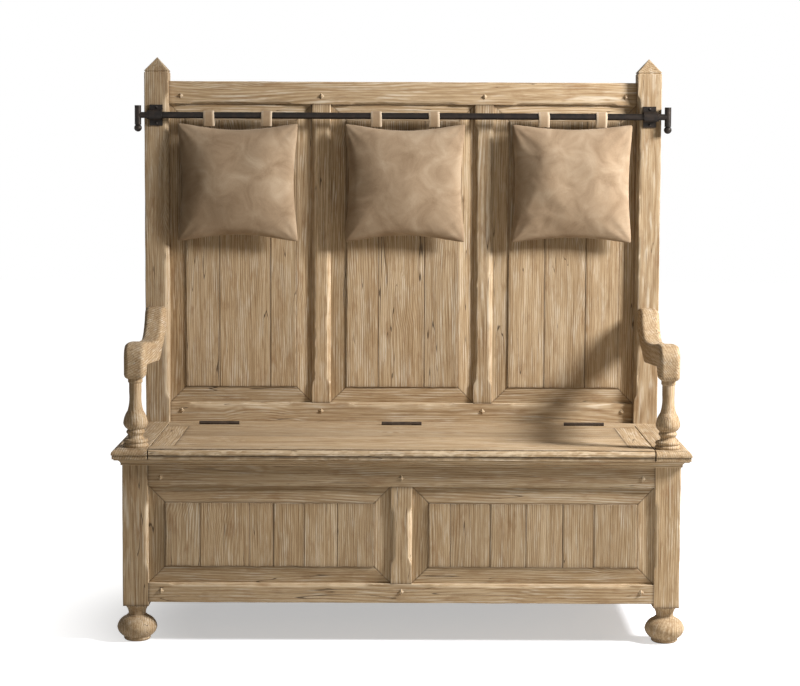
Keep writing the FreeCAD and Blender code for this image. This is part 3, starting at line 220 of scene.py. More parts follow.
# Wrought iron, hammered and blackened with wax: dull near-black with brown lights on the
# facets of the hammer marks, about 7 mm across.
def forgedIron(name, colour, rubbed, roughness):
    material, put = newMaterial(name)
    spot = put("TexCoord").outputs["Object"]
    cells = {"Vector": spot, "Scale": 140.0, "Smoothness": 0.6}
    facets = put("TexVoronoi", cells, feature="SMOOTH_F1").outputs[0]
    scale = put("TexNoise", {"Vector": spot, "Scale": 900.0, "Detail": 3.0}).outputs[0]
    rust = put("TexNoise", {"Vector": spot, "Scale": 60.0, "Detail": 4.0}).outputs[0]
    height = put("Math", {0: scale, 1: 0.25, 2: facets}, operation="MULTIPLY_ADD").outputs[0]
    tint = put("MapRange", {0: rust, 1: 0.42, 2: 0.65, 3: 0.0, 4: 0.6}).outputs[0]
    base = put("Mix", {0: tint, 6: linear(colour), 7: linear(rubbed)}, data_type="RGBA").outputs[2]
    edge = put("Bevel", {"Radius": 1.0 * mm}, samples=4).outputs[0]
    bump = put("Bump", {"Height": height, "Strength": 0.5, "Distance": 0.8 * mm, "Normal": edge}).outputs[0]
    shader = put("BsdfPrincipled", {"Base Color": base, "Roughness": roughness, "Metallic": 0.55,
                                    "Normal": bump})
    put("OutputMaterial", {0: shader.outputs[0]})
    return material


# Suede, split hide with the nap brushed up: matt, cloudy where the nap lies different ways,
# with a soft pale edge light. The hide's cut edges, marked in the finish, are paler.
def suede(name, colour, cutEdge):
    material, put = newMaterial(name)
    spot = put("TexCoord").outputs["Object"]
    cloud = put("TexNoise", {"Vector": spot, "Scale": 16.0, "Detail": 5.0, "Roughness": 0.6,
                             "Distortion": 0.6}).outputs[0]
    nap = put("TexNoise", {"Vector": spot, "Scale": 420.0, "Detail": 3.0, "Roughness": 0.7}).outputs[0]
    stops = list(zip((0.3, 0.52, 0.72), colour))
    shadeOf = put("ValToRGB", {0: cloud}, stops=stops).outputs[0]
    speck = put("MapRange", {0: nap, 1: 0.3, 2: 0.7, 3: 0.94, 4: 1.06}).outputs[0]
    base = put("HueSaturation", {"Color": shadeOf, "Value": speck}).outputs[0]
    finishAndShade = put("Attribute", attribute_name="finishAndShade").outputs["Vector"]
    edge = put("SeparateXYZ", {0: finishAndShade}).outputs[0]
    base = put("Mix", {0: edge, 6: base, 7: linear(cutEdge)}, data_type="RGBA").outputs[2]
    height = put("Math", {0: cloud, 1: 1.4, 2: nap}, operation="MULTIPLY_ADD").outputs[0]
    bump = put("Bump", {"Height": height, "Strength": 0.4, "Distance": 0.5 * mm}).outputs[0]
    shader = put("BsdfPrincipled", {"Base Color": base, "Roughness": 0.95, "Normal": bump,
                                    "Specular IOR Level": 0.12, "Sheen Weight": 0.3,
                                    "Sheen Roughness": 0.45, "Sheen Tint": linear("E6DCCE")})
    put("OutputMaterial", {0: shader.outputs[0]})
    return material


oakCut = limedOak("limedOakBrushed")
oakAlong = {axis: limedOak("limedOakSolid" + axis.upper(), axis, (0.31, 0.17, 0.43)) for axis in "xyz"}
ironBar = forgedIron("forgedIronWaxed", "15100D", "2C221B", 0.5)
ironHinge = forgedIron("hingeIronBrown", "3A3029", "55483C", 0.55)
padSuede = suede("suedeNapped", ("8A7762", "9D8B76", "AE9E8A"), "C4B4A0")
loopSuede = suede("suedeStrapping", ("8F7C66", "A18D75", "AE9B84"), "D8CAB6")
print("materials made")


def materialOf(name):
    if name.startswith(("bar_rod", "bar_finials", "bar_brackets", "bracket_screws")):
        return ironBar
    if name.startswith("hinge_") and name != "hinge_rail":
        return ironHinge
    if name.startswith("cushion"):
        return padSuede
    if name in ("cove_sides", "seat_end_left", "seat_end_right"):
        return oakAlong["y"]
    if name.startswith(("foot", "baluster")) or any(word in name for word in ("post", "muntin", "panel")):
        return oakAlong["z"]
    low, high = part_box(name)
    return oakAlong["xyz"[max(range(3), key=lambda axis: high[axis] - low[axis])]]


for name, node in nodes.items():
    node.data.materials.clear()
    node.data.materials.append(materialOf(name))


# A piece from grids of points. Each grid has its points, its place in the plank (grain) and
# its finish (rubbed, painted shade with some grime, tone) as arrays; grids that meet are welded into one
# skin.
def makePiece(name, grids, material, body, replaced=(), sharpAngle=38):
    points, faces, grains, finishAndShadeRows, count = [], [], [], [], 0
    for spots, grain, finishAndShade in grids:
        rows, columns = spots.shape[:2]
        index = np.arange(rows * columns).reshape(rows, columns)
        quads = np.stack([index[:-1, :-1], index[:-1, 1:], index[1:, 1:], index[1:, :-1]], -1).reshape(-1, 4)
        points.append(spots.reshape(-1, 3))
        faces.append(quads + count)
        grains.append(np.broadcast_to(grain, spots.shape).reshape(-1, 3)[quads].reshape(-1, 3))
        finishAndShadeRows.append(np.broadcast_to(finishAndShade, spots.shape).reshape(-1, 3)[quads].reshape(-1, 3))
        count += rows * columns
    mesh = bpy.data.meshes.new(name)
    mesh.from_pydata(np.concatenate(points).tolist(), [], np.concatenate(faces).tolist())
    for key, values in (("grain", grains), ("finishAndShade", finishAndShadeRows)):
        layer = mesh.attributes.new(key, "FLOAT_VECTOR", "CORNER")
        layer.data.foreach_set("vector", np.concatenate(values).astype(np.float32).ravel())
    skin = bmesh.new()
    skin.from_mesh(mesh)
    bmesh.ops.remove_doubles(skin, verts=skin.verts, dist=0.02 * mm)
    bmesh.ops.recalc_face_normals(skin, faces=skin.faces)
    skin.to_mesh(mesh)
    skin.free()
    mesh.shade_smooth()
    mesh.set_sharp_from_angle(angle=math.radians(sharpAngle))
    piece = bpy.data.objects.new(name, mesh)
    scene.collection.objects.link(piece)
    mesh.materials.append(material)
    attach(piece, body)
    if replaced:
        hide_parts(*replaced)
    return piece


# A squared timber between two corners of its box, with hand-worn arrises and stopped
# chamfers. Its section is a ring of four rounded corners joined by flats, carried along the
# timber: a corner is part quarter circle, part straight cut, by how deep its chamfer is.
# endShadeAndGrime: how far painted shade, with some grime, reaches in from a timber's ends
timber = {"step": 5 * mm, "cornerPoints": 7, "flatPoints": 7, "worn": 1.5 * mm, "wornChange": 1.1 * mm,
          "wornPitch": 26 * mm, "leastWorn": 0.5 * mm, "chip": 3.2 * mm, "chipPitch": 9 * mm,
          "chipFrom": 0.62, "swell": 0.45 * mm, "swellAlong": 75 * mm, "swellAround": 22 * mm,
          "stopRun": 19 * mm, "cutChange": 0.7 * mm, "cutPitch": 55 * mm, "rubPitch": 18 * mm,
          "endShadeAndGrime": 3.5 * mm}


def makeTimber(name, low, high, axis, replaced, chamfers=(), insets=None, body="settle_frame", worn=1.0,
               shadedGrimyEnds=True):
    seed = seedOf(name)
    dice = np.random.default_rng(seed)
    low, high = np.array(low, float), np.array(high, float)
    across, deep, along = {"x": (2, 1, 0), "y": (0, 2, 1), "z": (0, 1, 2)}[axis]
    station = np.linspace(low[along], high[along], int((high[along] - low[along]) / timber["step"]) + 2)
    inset = np.zeros(len(station))
    if insets is not None:
        station = np.unique(np.concatenate([station, [place for place, depth in insets]]))
        inset = np.interp(station, [place for place, depth in insets], [depth for place, depth in insets])
    half = np.stack([(high[across] - low[across]) / 2 - inset, (high[deep] - low[deep]) / 2 - inset], -1)
    entry = np.array([(1, 0), (0, 1), (-1, 0), (0, -1)])
    leave = np.array([(0, 1), (-1, 0), (0, -1), (1, 0)])
    signs = [(1, -1), (1, 1), (-1, 1), (-1, -1)]
    t = np.linspace(0, 1, timber["cornerPoints"])
    turn = t * math.pi / 2
    corners, legs, rubs = [], [], []
    for k, sign in enumerate(signs):
        edge = timber["worn"] + timber["wornChange"] * wander(station, timber["wornPitch"], seed + k)
        chips = wander(station, timber["chipPitch"], seed + 11 + k) - timber["chipFrom"]
        edge = edge + timber["chip"] * np.clip(chips, 0, 1)
        edge = np.maximum(edge, timber["leastWorn"]) * worn
        cut = np.zeros(len(station))
        for at, size, start, end in chamfers:
            if at == sign:
                fade = ease((end - station) / timber["stopRun"])
                shape = ease((station - start) / timber["stopRun"]) * fade
                uneven = timber["cutChange"] * wander(station, timber["cutPitch"], seed + 23 + k)
                cut += shape * (size + uneven)
        leg = np.minimum(edge + cut, 0.95 * half.min(1))
        straight = (cut / (cut + edge) * 0.93)[:, None, None]
        arc = entry[k] * (np.sin(turn) - 1)[:, None] + leave[k] * (1 - np.cos(turn))[:, None]
        chord = entry[k] * (t - 1)[:, None] + leave[k] * t[:, None]
        corner = (half * sign)[:, None, :] + leg[:, None, None] * (arc * (1 - straight) + chord * straight)
        corners.append(corner)
        rub = 0.5 + 0.5 * wander(station, timber["rubPitch"], seed + 31 + k)
        edgeRub = rub[:, None] * np.sin(np.pi * t) ** 0.6
        cutRub = (0.3 + 0.5 * rub)[:, None] * np.abs(np.cos(np.pi * t)) ** 2
        share = (cut / (cut + edge))[:, None]
        rubs.append(edgeRub * (1 - share) + cutRub * share)
    ring, rubbed = [], []
    u = np.linspace(0, 1, timber["flatPoints"] + 2)[1:-1]
    for k in range(4):
        start, end = corners[k][:, -1:, :], corners[(k + 1) % 4][:, :1, :]
        ring += [corners[k], start + (end - start) * u[None, :, None]]
        rubbed += [rubs[k], np.zeros((len(station), len(u)))]
    ring, rubbed = np.concatenate(ring, 1), np.concatenate(rubbed, 1)
    ring, rubbed = np.concatenate([ring, ring[:, :1]], 1), np.concatenate([rubbed, rubbed[:, :1]], 1)
    outward = np.sign(ring) * np.abs(ring / np.maximum(half, 1e-4)[:, None, :]) ** 7
    for side in (0, 1):
        around = ring[:, :, 1 - side] + 0.3 * np.sign(ring[:, :, side])
        wave = ripple(station[:, None], around, timber["swellAlong"], timber["swellAround"], seed + 41 + side)
        ring[:, :, side] += timber["swell"] * worn * wave * outward[:, :, side]
    rows = np.concatenate([[0], np.arange(len(station)), [len(station) - 1]])
    ring, rubbed = ring[rows], rubbed[rows]
    ring[0] = ring[0].mean(0)
    ring[-1] = ring[-1].mean(0)
    spots = np.zeros(ring.shape[:2] + (3,))
    spots[..., across] = ring[..., 0] + (low[across] + high[across]) / 2
    spots[..., deep] = ring[..., 1] + (low[deep] + high[deep]) / 2
    spots[..., along] = station[rows][:, None]
    heart = dice.uniform(25, 90, 2) * mm * dice.choice([-1, 1], 2)
    grain = np.concatenate([ring + heart, spots[..., along][..., None] + dice.uniform(0, 30)], -1)
    # painted shade with some grime: a timber darkens towards its ends, where it meets the next
    nearEnd = np.minimum(station - station[0], station[-1] - station)[rows]
    shadeAndGrime = np.exp(-nearEnd / timber["endShadeAndGrime"]) * (0.75 if shadedGrimyEnds else 0.0)
    finishAndShade = np.stack([rubbed, np.broadcast_to(shadeAndGrime[:, None], rubbed.shape),
                       np.full(rubbed.shape, dice.uniform(-1, 1))], -1)
    return makePiece(name, [(spots, grain, finishAndShade)], oakCut, body, replaced)


# Frame of the back and of the box. Chamfers run along the inner edges and stop short of the
# joints; a post's cap is a pyramid above a small neck.
joinery = {"stopMargin": 46 * mm, "postChamfer": 7 * mm, "frontPostChamfer": 4 * mm,
           "muntinChamfer": 7.5 * mm, "railChamfer": 5 * mm, "capHeight": 35 * mm,
           "capInset": 30.5 * mm, "neck": 5 * mm, "lap": 1 * mm,
           "overSeat": 8 * mm, "overCrest": 30 * mm, "railThick": 30 * mm}
boxes = {name: [np.array(corner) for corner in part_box(name)] for name in nodes}
postInner = boxes["back_post_right"][0][0]
seatRailTop = boxes["back_seat_rail"][1][2]
crestLow = boxes["back_crest_rail"][0][2]
lowRailTop = boxes["front_bottom_rail"][1][2]
topRailLow = boxes["front_top_rail"][0][2]
for word, side in sides.items():
    low, high = boxes["back_post_" + word]
    base = high[2] - joinery["capHeight"]
    neck = joinery["neck"]
    insets = [(low[2], 0), (base - neck, 0), (base - neck / 2, neck / 2), (base, 0),
              (high[2], joinery["capInset"])]
    cutEnds = seatRailTop + joinery["overSeat"], crestLow + joinery["overCrest"]
    cut = ((side * -1, -1), joinery["postChamfer"], *cutEnds)
    # the back posts get no painted shade at their ends
    makeTimber("postBack_" + word, low, high, "z", ["back_post_" + word], [cut], insets, shadedGrimyEnds=False)
    low, high = boxes["front_post_" + word]
    margin = joinery["stopMargin"] * 0.7
    cut = ((side * -1, -1), joinery["frontPostChamfer"], lowRailTop + margin, topRailLow - margin)
    makeTimber("postFront_" + word, low, high, "z", ["front_post_" + word], [cut])


def makeRail(name, node, openings, edge, chamfer):
    low, high = (corner.copy() for corner in boxes[node])
    low[0], high[0] = -postInner - joinery["lap"], postInner + joinery["lap"]
    cuts = [((edge, -1), chamfer, start + joinery["stopMargin"], end - joinery["stopMargin"])
            for start, end in openings]
    makeTimber(name, low, high, "x", [node], cuts)


leftLow, leftHigh = boxes["back_muntin_left"]
rightLow, rightHigh = boxes["back_muntin_right"]
backEdges = [-postInner, leftLow[0], leftHigh[0], rightLow[0], rightHigh[0], postInner]
backOpenings = list(zip(backEdges[0::2], backEdges[1::2]))
frontMuntin = boxes["front_muntin"]
frontOpenings = [(-postInner, frontMuntin[0][0]), (frontMuntin[1][0], postInner)]
makeRail("railCrest", "back_crest_rail", backOpenings, -1, joinery["railChamfer"])
makeRail("railSeatBack", "back_seat_rail", backOpenings, 1, joinery["railChamfer"])
makeRail("railFrontTop", "front_top_rail", frontOpenings, -1, joinery["railChamfer"])
makeRail("railFrontBottom", "front_bottom_rail", frontOpenings, 1, joinery["railChamfer"])
makeRail("railBackBottom", "box_back_rail", [], 1, 0)


def makeMuntin(name, node, low, high):
    start, end = (corner.copy() for corner in boxes[node])
    start[2], end[2] = low - joinery["lap"], high + joinery["lap"]
    margin = joinery["stopMargin"]
    cuts = [((side, -1), joinery["muntinChamfer"], low + margin, high - margin) for side in (-1, 1)]
    makeTimber(name, start, end, "z", [node], cuts)


makeMuntin("muntinBack_left", "back_muntin_left", seatRailTop, crestLow)
makeMuntin("muntinBack_right", "back_muntin_right", seatRailTop, crestLow)
makeMuntin("muntinFront", "front_muntin", lowRailTop, topRailLow)
print("frame timbers made")


# A fielded panel: four mitred borders that slope down to the frame, and a raised field of
# upright boards between them. u runs along the panel, v up it, and depth into it. A border
# is a grid ruled between its outer and inner lines; the field is a ruled grid whose edge
# points are nudged in and out, so that its edge looks broken.
panelLook = {"step": 4.5 * mm, "tongue": 9 * mm, "field": 3 * mm, "rise": 2.5 * mm, "drop": 7 * mm,
             "back": 18.3 * mm, "bevelBack": 42 * mm, "bevelBox": 41 * mm, "ragged": 1.3 * mm,
             "raggedBack": 0.5 * mm, "groove": 0.6 * mm, "grooveHalf": 1.1 * mm, "edgeLift": 0.35 * mm,
             "borderWave": 0.3 * mm, "mitreLift": 0.7 * mm, "unevenField": 0.35 * mm}


def makePanel(name, node, span, rise, bevel, place, joints, ragged):
    seed = seedOf(name)
    dice = np.random.default_rng(seed)
    (u0, u1), (v0, v1) = span, rise

    def cornersAt(out):  # the opening's four corners, moved outwards
        return np.array([(u0 - out, v0 - out), (u1 + out, v0 - out), (u1 + out, v1 + out),
                         (u0 - out, v1 + out)])

    inner, outer = cornersAt(-bevel), cornersAt(panelLook["tongue"])
    beside = (-panelLook["grooveHalf"], 0, panelLook["grooveHalf"])
    lines = {}
    for axis, marks in ((0, joints), (1, ())):
        start, end = inner[0][axis], inner[2][axis]
        steps = np.linspace(start, end, int((end - start) / panelLook["step"]) + 2)
        edgeSteps = [start + 1.5 * mm, end - 1.5 * mm]
        extra = [mark + offset for mark in marks for offset in beside]
        line = np.unique(np.round(np.concatenate([steps, edgeSteps, extra]), 6))
        lines[axis] = (line - start) / (end - start)
    fieldLevel = panelLook["field"]
    stepLevel = fieldLevel + panelLook["rise"]
    edgeLevel = stepLevel + panelLook["drop"]
    grids = []
    normals = np.array([(0, -1), (1, 0), (0, 1), (-1, 0)])

    def nudge(k, t, length):  # how far the field's edge stands out along side k
        soft = ease(t * length / (9 * mm)) * ease((1 - t) * length / (9 * mm))
        rough = wander(t * length, 13 * mm, seed + k) + 0.8 * wander(t * length, 5 * mm, seed + 5 + k)
        return soft * ragged * rough * 0.6

    for k in range(4):
        t = lines[k % 2] if k < 2 else 1 - lines[k % 2][::-1]
        a, b, c, d = outer[k], outer[(k + 1) % 4], inner[k], inner[(k + 1) % 4]
        length = np.linalg.norm(d - c)
        v = np.concatenate([np.linspace(0, 1, 9), [1.0]])
        near, far = a + (b - a) * t[:, None], c + (d - c) * t[:, None]
        flat = near[:, None] * (1 - v)[None, :, None] + far[:, None] * v[None, :, None]
        bulge = nudge(k, t, length)
        flat = flat + (bulge[:, None] * (v[None, :] >= 0.999))[..., None] * normals[k]
        depth = np.broadcast_to(edgeLevel - panelLook["drop"] * v, flat.shape[:2]).copy()
        run = flat @ (d - c) / length
        crossing = (v * np.linalg.norm(c - a) / math.sqrt(2))[None, :]
        depth += panelLook["borderWave"] * ripple(run, crossing + k, 60 * mm, 16 * mm, seed + 9)
        depth[:, -1] = fieldLevel + panelLook["edgeLift"]
        toMitre = np.minimum(t, 1 - t)[:, None] * np.linalg.norm(flat[-1] - flat[0], axis=-1)[None, :]
        depth += panelLook["mitreLift"] * np.exp(-(toMitre / (1.2 * mm)) ** 2)
        # painted shade with some grime: darker along the mitres, at the foot of the field's step and along
        # the field's edge
        shadeAndGrime = 0.65 * np.exp(-(toMitre / (1.4 * mm)) ** 2)
        shadeAndGrime = shadeAndGrime + 0.55 * np.exp(-((1 - v[None, :]) / 0.05) ** 2)
        shadeAndGrime[:, -1] = 0.25 + 0.35 * wander(t * length, 8 * mm, seed + 15 + k)
        rubbed = np.zeros(shadeAndGrime.shape)
        rubbed[:, -1] = np.clip(wander(t * length, 12 * mm, seed + 19 + k), 0, 1)
        shift = dice.uniform(30, 90) * mm
        lengthwise = run + dice.uniform(0, 30)
        grain = np.stack([crossing + np.zeros(run.shape) + shift, depth + 40 * mm, lengthwise], -1)
        finishAndShade = np.stack([rubbed, np.clip(shadeAndGrime, 0, 1), np.full(run.shape, dice.uniform(-0.8, 0.8))], -1)
        grids.append((place(flat[..., 0], flat[..., 1], depth), grain, finishAndShade))
        rim = np.stack([near, near], 1)
        rimDepth = np.stack([depth[:, 0], np.full(len(near), panelLook["back"])], 1)
        plain = np.stack([rim[..., 0], rimDepth, rim[..., 1]], -1)
        grids.append((place(rim[..., 0], rim[..., 1], rimDepth), plain, np.zeros(3)))
        middle = np.broadcast_to((outer[0] + outer[2]) / 2, near.shape)
        cover = np.stack([near, middle], 1)
        coverDepth = np.full(cover.shape[:2], panelLook["back"])
        plain = np.stack([cover[..., 0] + 0.05, coverDepth + 0.03, cover[..., 1]], -1)
        grids.append((place(cover[..., 0], cover[..., 1], coverDepth), plain, np.zeros(3)))
    s, t = lines[0], lines[1]
    u = inner[0][0] + s * (inner[2][0] - inner[0][0])
    v = inner[0][1] + t * (inner[2][1] - inner[0][1])
    gridU, gridV = np.meshgrid(u, v, indexing="ij")
    width, height = inner[2] - inner[0]
    edges = ((gridV - v[0], nudge(0, s, width)[:, None], 1, -1),
             (v[-1] - gridV, nudge(2, 1 - s, width)[:, None], 1, 1),
             (gridU - u[0], nudge(3, 1 - t, height)[None, :], 0, -1),
             (u[-1] - gridU, nudge(1, t, height)[None, :], 0, 1))
    moved = [gridU.copy(), gridV.copy()]
    toEdge = np.minimum.reduce([edge[0] for edge in edges])
    for distance, push, axis, sign in edges:
        moved[axis] += np.clip(1 - distance / (6 * mm), 0, 1) * push * sign
    board = np.searchsorted(np.array(joints), gridU)
    offsets = dice.uniform(-0.35, 0.35, len(joints) + 1) * mm
    tilts = dice.uniform(-1.0, 1.0, len(joints) + 1)
    uneven = ripple(gridU + board, gridV, 26 * mm, 140 * mm, seed + 31)
    depth = fieldLevel + offsets[board] + panelLook["unevenField"] * uneven
    toJoint = np.min([np.abs(gridU - joint) for joint in joints], 0)
    depth += panelLook["groove"] * np.clip(1 - toJoint / panelLook["grooveHalf"], 0, 1)
    onEdge = toEdge < 0.1 * mm
    depth = np.where(onEdge, fieldLevel + panelLook["edgeLift"], depth)
    hearts = dice.uniform(-60, 60, len(joints) + 1) * mm
    grain = np.stack([gridU - u.mean() + hearts[board] + board * 0.4, depth + dice.uniform(18, 45) * mm,
                      gridV + board * 3.7 + dice.uniform(0, 30)], -1)
    # painted shade with some grime: darker in the joints between the field's boards and towards the field's
    # edge
    shadeAndGrime = 0.75 * np.exp(-(toJoint / (1.3 * mm)) ** 2) + 0.28 * np.exp(-toEdge / (5 * mm))
    rubbed = np.where(onEdge, np.clip(ripple(gridU, gridV, 14 * mm, 14 * mm, seed + 37), 0, 1), 0)
    finishAndShade = np.stack([rubbed, np.clip(shadeAndGrime, 0, 1), tilts[board] * 0.7], -1)
    grids.append((place(moved[0], moved[1], depth), grain, finishAndShade))
    return makePiece(name, grids, oakCut, "settle_frame", [node])


backFace = boxes["back_crest_rail"][0][1]
frontFace = boxes["front_top_rail"][0][1]
backJoints = ((-478 * mm, -345 * mm), (-62 * mm, 58 * mm), (372 * mm, 480 * mm))
for (start, end), word, joints in zip(backOpenings, ("left", "centre", "right"), backJoints):
    makePanel("panelBack_" + word, "back_panel_" + word, (start, end), (seatRailTop, crestLow),
              panelLook["bevelBack"], lambda u, v, depth: np.stack([u, backFace + depth, v], -1), joints,
              panelLook["raggedBack"])
frontJoints = ((-484 * mm, -365 * mm, -308 * mm, -234 * mm, -154 * mm),
               (118 * mm, 213 * mm, 300 * mm, 388 * mm, 463 * mm))
for (start, end), word, joints in zip(frontOpenings, ("left", "right"), frontJoints):
    makePanel("panelFront_" + word, "front_panel_" + word, (start, end), (lowRailTop, topRailLow),
              panelLook["bevelBox"], lambda u, v, depth: np.stack([u, frontFace + depth, v], -1), joints,
              panelLook["ragged"])
print("panels made")


# Ends of the box
for word, side in sides.items():
    near, far = boxes["front_post_" + word][1][1], boxes["back_post_" + word][0][1]
    for kind in ("top", "bottom"):
        node = "side_%s_rail_%s" % (kind, word)
        low, high = (corner.copy() for corner in boxes[node])
        face = boxes["front_post_" + word][0][0] if side < 0 else boxes["front_post_" + word][1][0]
        low[0], high[0] = sorted((face, face - side * joinery["railThick"]))
        low[1], high[1] = near - joinery["lap"], far + joinery["lap"]
        edge = 1 if kind == "bottom" else -1
        margin = joinery["stopMargin"]
        cut = ((side, edge), joinery["railChamfer"], near + margin, far - margin)
        makeTimber("railSide_%s_%s" % (kind, word), low, high, "y", [node], [cut])
    makePanel("panelSide_" + word, "side_panel_" + word, (near, far), (lowRailTop, topRailLow),
              panelLook["bevelBox"], lambda u, v, depth: np.stack([face - side * depth, u, v], -1),
              (near + 0.12, near + 0.25), panelLook["ragged"])


# A board with a moulded edge: its section, a closed ring of points given as distance behind
# the nose and height, is carried along X, and each point wanders a little as it goes.
nose = {"fillet": 8.5 * mm, "filletBack": 2 * mm, "quirk": 1.2 * mm, "quirkBack": 5 * mm, "radius": 10 * mm,
        "topStep": 2.5 * mm, "topBack": 12 * mm, "thick": 25 * mm, "across": 0.55 * mm,
        "upright": 0.3 * mm, "proud": 0.4 * mm, "reach": 14 * mm}


def nosedSection(width):
    quirkTop = nose["fillet"] + nose["quirk"]
    shoulder = nose["thick"] - nose["topStep"]
    turn = np.linspace(0, math.pi / 2, 9)
    radius = nose["radius"]
    curve = [(radius * (1 - math.cos(a)), shoulder - radius * (1 - math.sin(a))) for a in turn]
    corners = [(nose["filletBack"], 0.0), (nose["filletBack"], nose["fillet"]),
               (nose["quirkBack"], nose["fillet"]), (nose["quirkBack"], quirkTop),
               (0.6 * mm, quirkTop), (0, quirkTop + 0.6 * mm)] + curve
    corners += [(nose["topBack"], shoulder), (nose["topBack"], nose["thick"] - 0.7 * mm),
                (nose["topBack"] + 0.8 * mm, nose["thick"]), (width, nose["thick"]), (width, 0.0)]
    ring = []
    for (x0, y0), (x1, y1) in zip(corners, corners[1:] + corners[:1]):
        pieces = max(1, int(math.hypot(x1 - x0, y1 - y0) / (5 * mm)))
        ring += [(x0 + (x1 - x0) * k / pieces, y0 + (y1 - y0) * k / pieces) for k in range(pieces)]
    return np.array(ring + ring[:1])


low, high = boxes["lid_front_rail"]
lidLow = low[2]
lidHalf = high[0]
section = nosedSection(high[1] - low[1])
station = np.linspace(low[0], high[0], int((high[0] - low[0]) / (4 * mm)))
rough = np.stack([wander(station, 17 * mm, 500 + k // 3) + 0.7 * wander(station, 6 * mm, 600 + k // 2)
                  for k in range(len(section) - 1)] + [np.zeros(len(station))], 1)
rough[:, -1] = rough[:, 0]
onNose = np.exp(-section[:, 0] / nose["reach"])
ring = np.repeat(section[None], len(station), 0)
ring[..., 0] += nose["across"] * rough * onNose + nose["proud"] * onNose
upright = (section[:, 1] > 1 * mm) & (section[:, 1] < 24.5 * mm)
ring[..., 1] += nose["upright"] * np.roll(rough, 2, 1) * upright
ring[..., 1] = np.where(section[:, 1] < 1 * mm, section[:, 1], ring[..., 1])
rows = np.concatenate([[0], np.arange(len(station)), [len(station) - 1]])
ring, rough = ring[rows], rough[rows]
ring[0], ring[-1] = ring[0].mean(0), ring[-1].mean(0)
lengthwise = np.broadcast_to(station[rows][:, None], ring.shape[:2])
spots = np.stack([lengthwise, low[1] + ring[..., 0], lidLow + ring[..., 1]], -1)
grain = np.stack([ring[..., 0] + 0.06, ring[..., 1] + 0.045, spots[..., 0] + 3.3], -1)
# painted shade: the quirk under the rounded nose and the step on the top are darkened
inQuirk = (np.abs(section[:, 1] - 9 * mm) < 1.2 * mm) | (np.abs(section[:, 0] - nose["topBack"]) < 0.3 * mm)
finishAndShade = np.stack([np.clip(rough * 0.8 + 0.15, 0, 1) * onNose, np.broadcast_to(inQuirk * 0.7, rough.shape),
                   np.full(rough.shape, 0.1)], -1)
makePiece("lidFrontRail", [(spots, grain, finishAndShade)], oakCut, "lid", ["lid_front_rail"])
frontEdge, rearEdge = high[1], boxes["lid_rear_rail"][0][1]
low, high = (corner.copy() for corner in boxes["lid_rear_rail"])
endWidth = 55 * mm
for word, side in sides.items():
    start, end = sorted((side * lidHalf, side * (lidHalf - endWidth)))
    makeTimber("lidEnd_" + word, (start, frontEdge, lidLow), (end, rearEdge, high[2]), "y",
               ["lid_end_" + word], body="lid", worn=0.35)
boards = np.linspace(frontEdge, rearEdge, 5)
boardEnd = lidHalf - endWidth
for number, (start, end) in enumerate(zip(boards[:-1], boards[1:])):
    makeTimber("lidBoard_%d" % number, (-boardEnd, start, lidLow), (boardEnd, end, high[2]), "x",
               ["lid_board"], body="lid", worn=0.22)
print("lid made")


# Leather loops: a strap's rounded section carried up in front of the bar, half round it and
# down behind. The strap's sides are marked as cut edges.
strap = {"width": 28 * mm, "thick": 2.5 * mm, "gap": 0.9 * mm, "pitch": 149 * mm, "drop": 27 * mm}
barLow, barHigh = boxes["bar_rod"]
barY, barZ = (barLow[1] + barHigh[1]) / 2, (barLow[2] + barHigh[2]) / 2
barRadius = (barHigh[1] - barLow[1]) / 2


def makeLoops(word, centre):
    reach = barRadius + strap["gap"] + strap["thick"] / 2
    turn = np.linspace(0, math.pi, 25)
    down = np.linspace(1, 0, 9)[:-1]
    bottom = strap["thick"] * 0.62
    bow = np.sin((1 - down) * math.pi / 2) ** 0.8
    front = np.stack([-bottom - (reach - bottom) * bow, -strap["drop"] * down], -1)
    arc = np.stack([-reach * np.cos(turn), reach * np.sin(turn)], -1)
    line = np.concatenate([front, arc, front[::-1] * (-1, 1)])
    along = np.gradient(line, axis=0)
    along /= np.linalg.norm(along, axis=1)[:, None]
    normal = np.stack([-along[:, 1], along[:, 0]], -1)
    half, thin = strap["width"] / 2, strap["thick"] / 2
    ring = np.array([(-half, -0.5), (-half, 0.5), (-half + 1 * mm, 1), (-half / 2, 1), (0, 1),
                     (half / 2, 1), (half - 1 * mm, 1), (half, 0.5), (half, -0.5), (half - 1 * mm, -1),
                     (half / 2, -1), (0, -1), (-half / 2, -1), (-half + 1 * mm, -1), (-half, -0.5)])
    grids = []
    for side in (-1, 1):
        middle = centre + side * strap["pitch"] / 2
        rows = np.concatenate([[0], np.arange(len(line)), [len(line) - 1]])
        shape = ring[None].repeat(len(rows), 0)
        shape[0], shape[-1] = 0, 0
        lean = 0.8 * mm * wander(np.arange(len(rows)) * 4 * mm, 30 * mm, 71 + side + seedOf(word))[:, None]
        offset = normal[rows][:, None, :] * (shape[..., 1] * thin)[..., None]
        spots = np.stack([middle + shape[..., 0] + lean, barY + line[rows][:, None, 0] + offset[..., 0],
                          barZ + line[rows][:, None, 1] + offset[..., 1]], -1)
        edge = (np.abs(shape[..., 0]) > half - 1.4 * mm) * 0.9
        finishAndShade = np.stack([edge, 0 * edge, 0 * edge], -1)
        grids.append((spots, spots, finishAndShade))
    return makePiece("loops_" + word, grids, loopSuede, "loops_" + word, ["cushion_loops_" + word],
                     50)


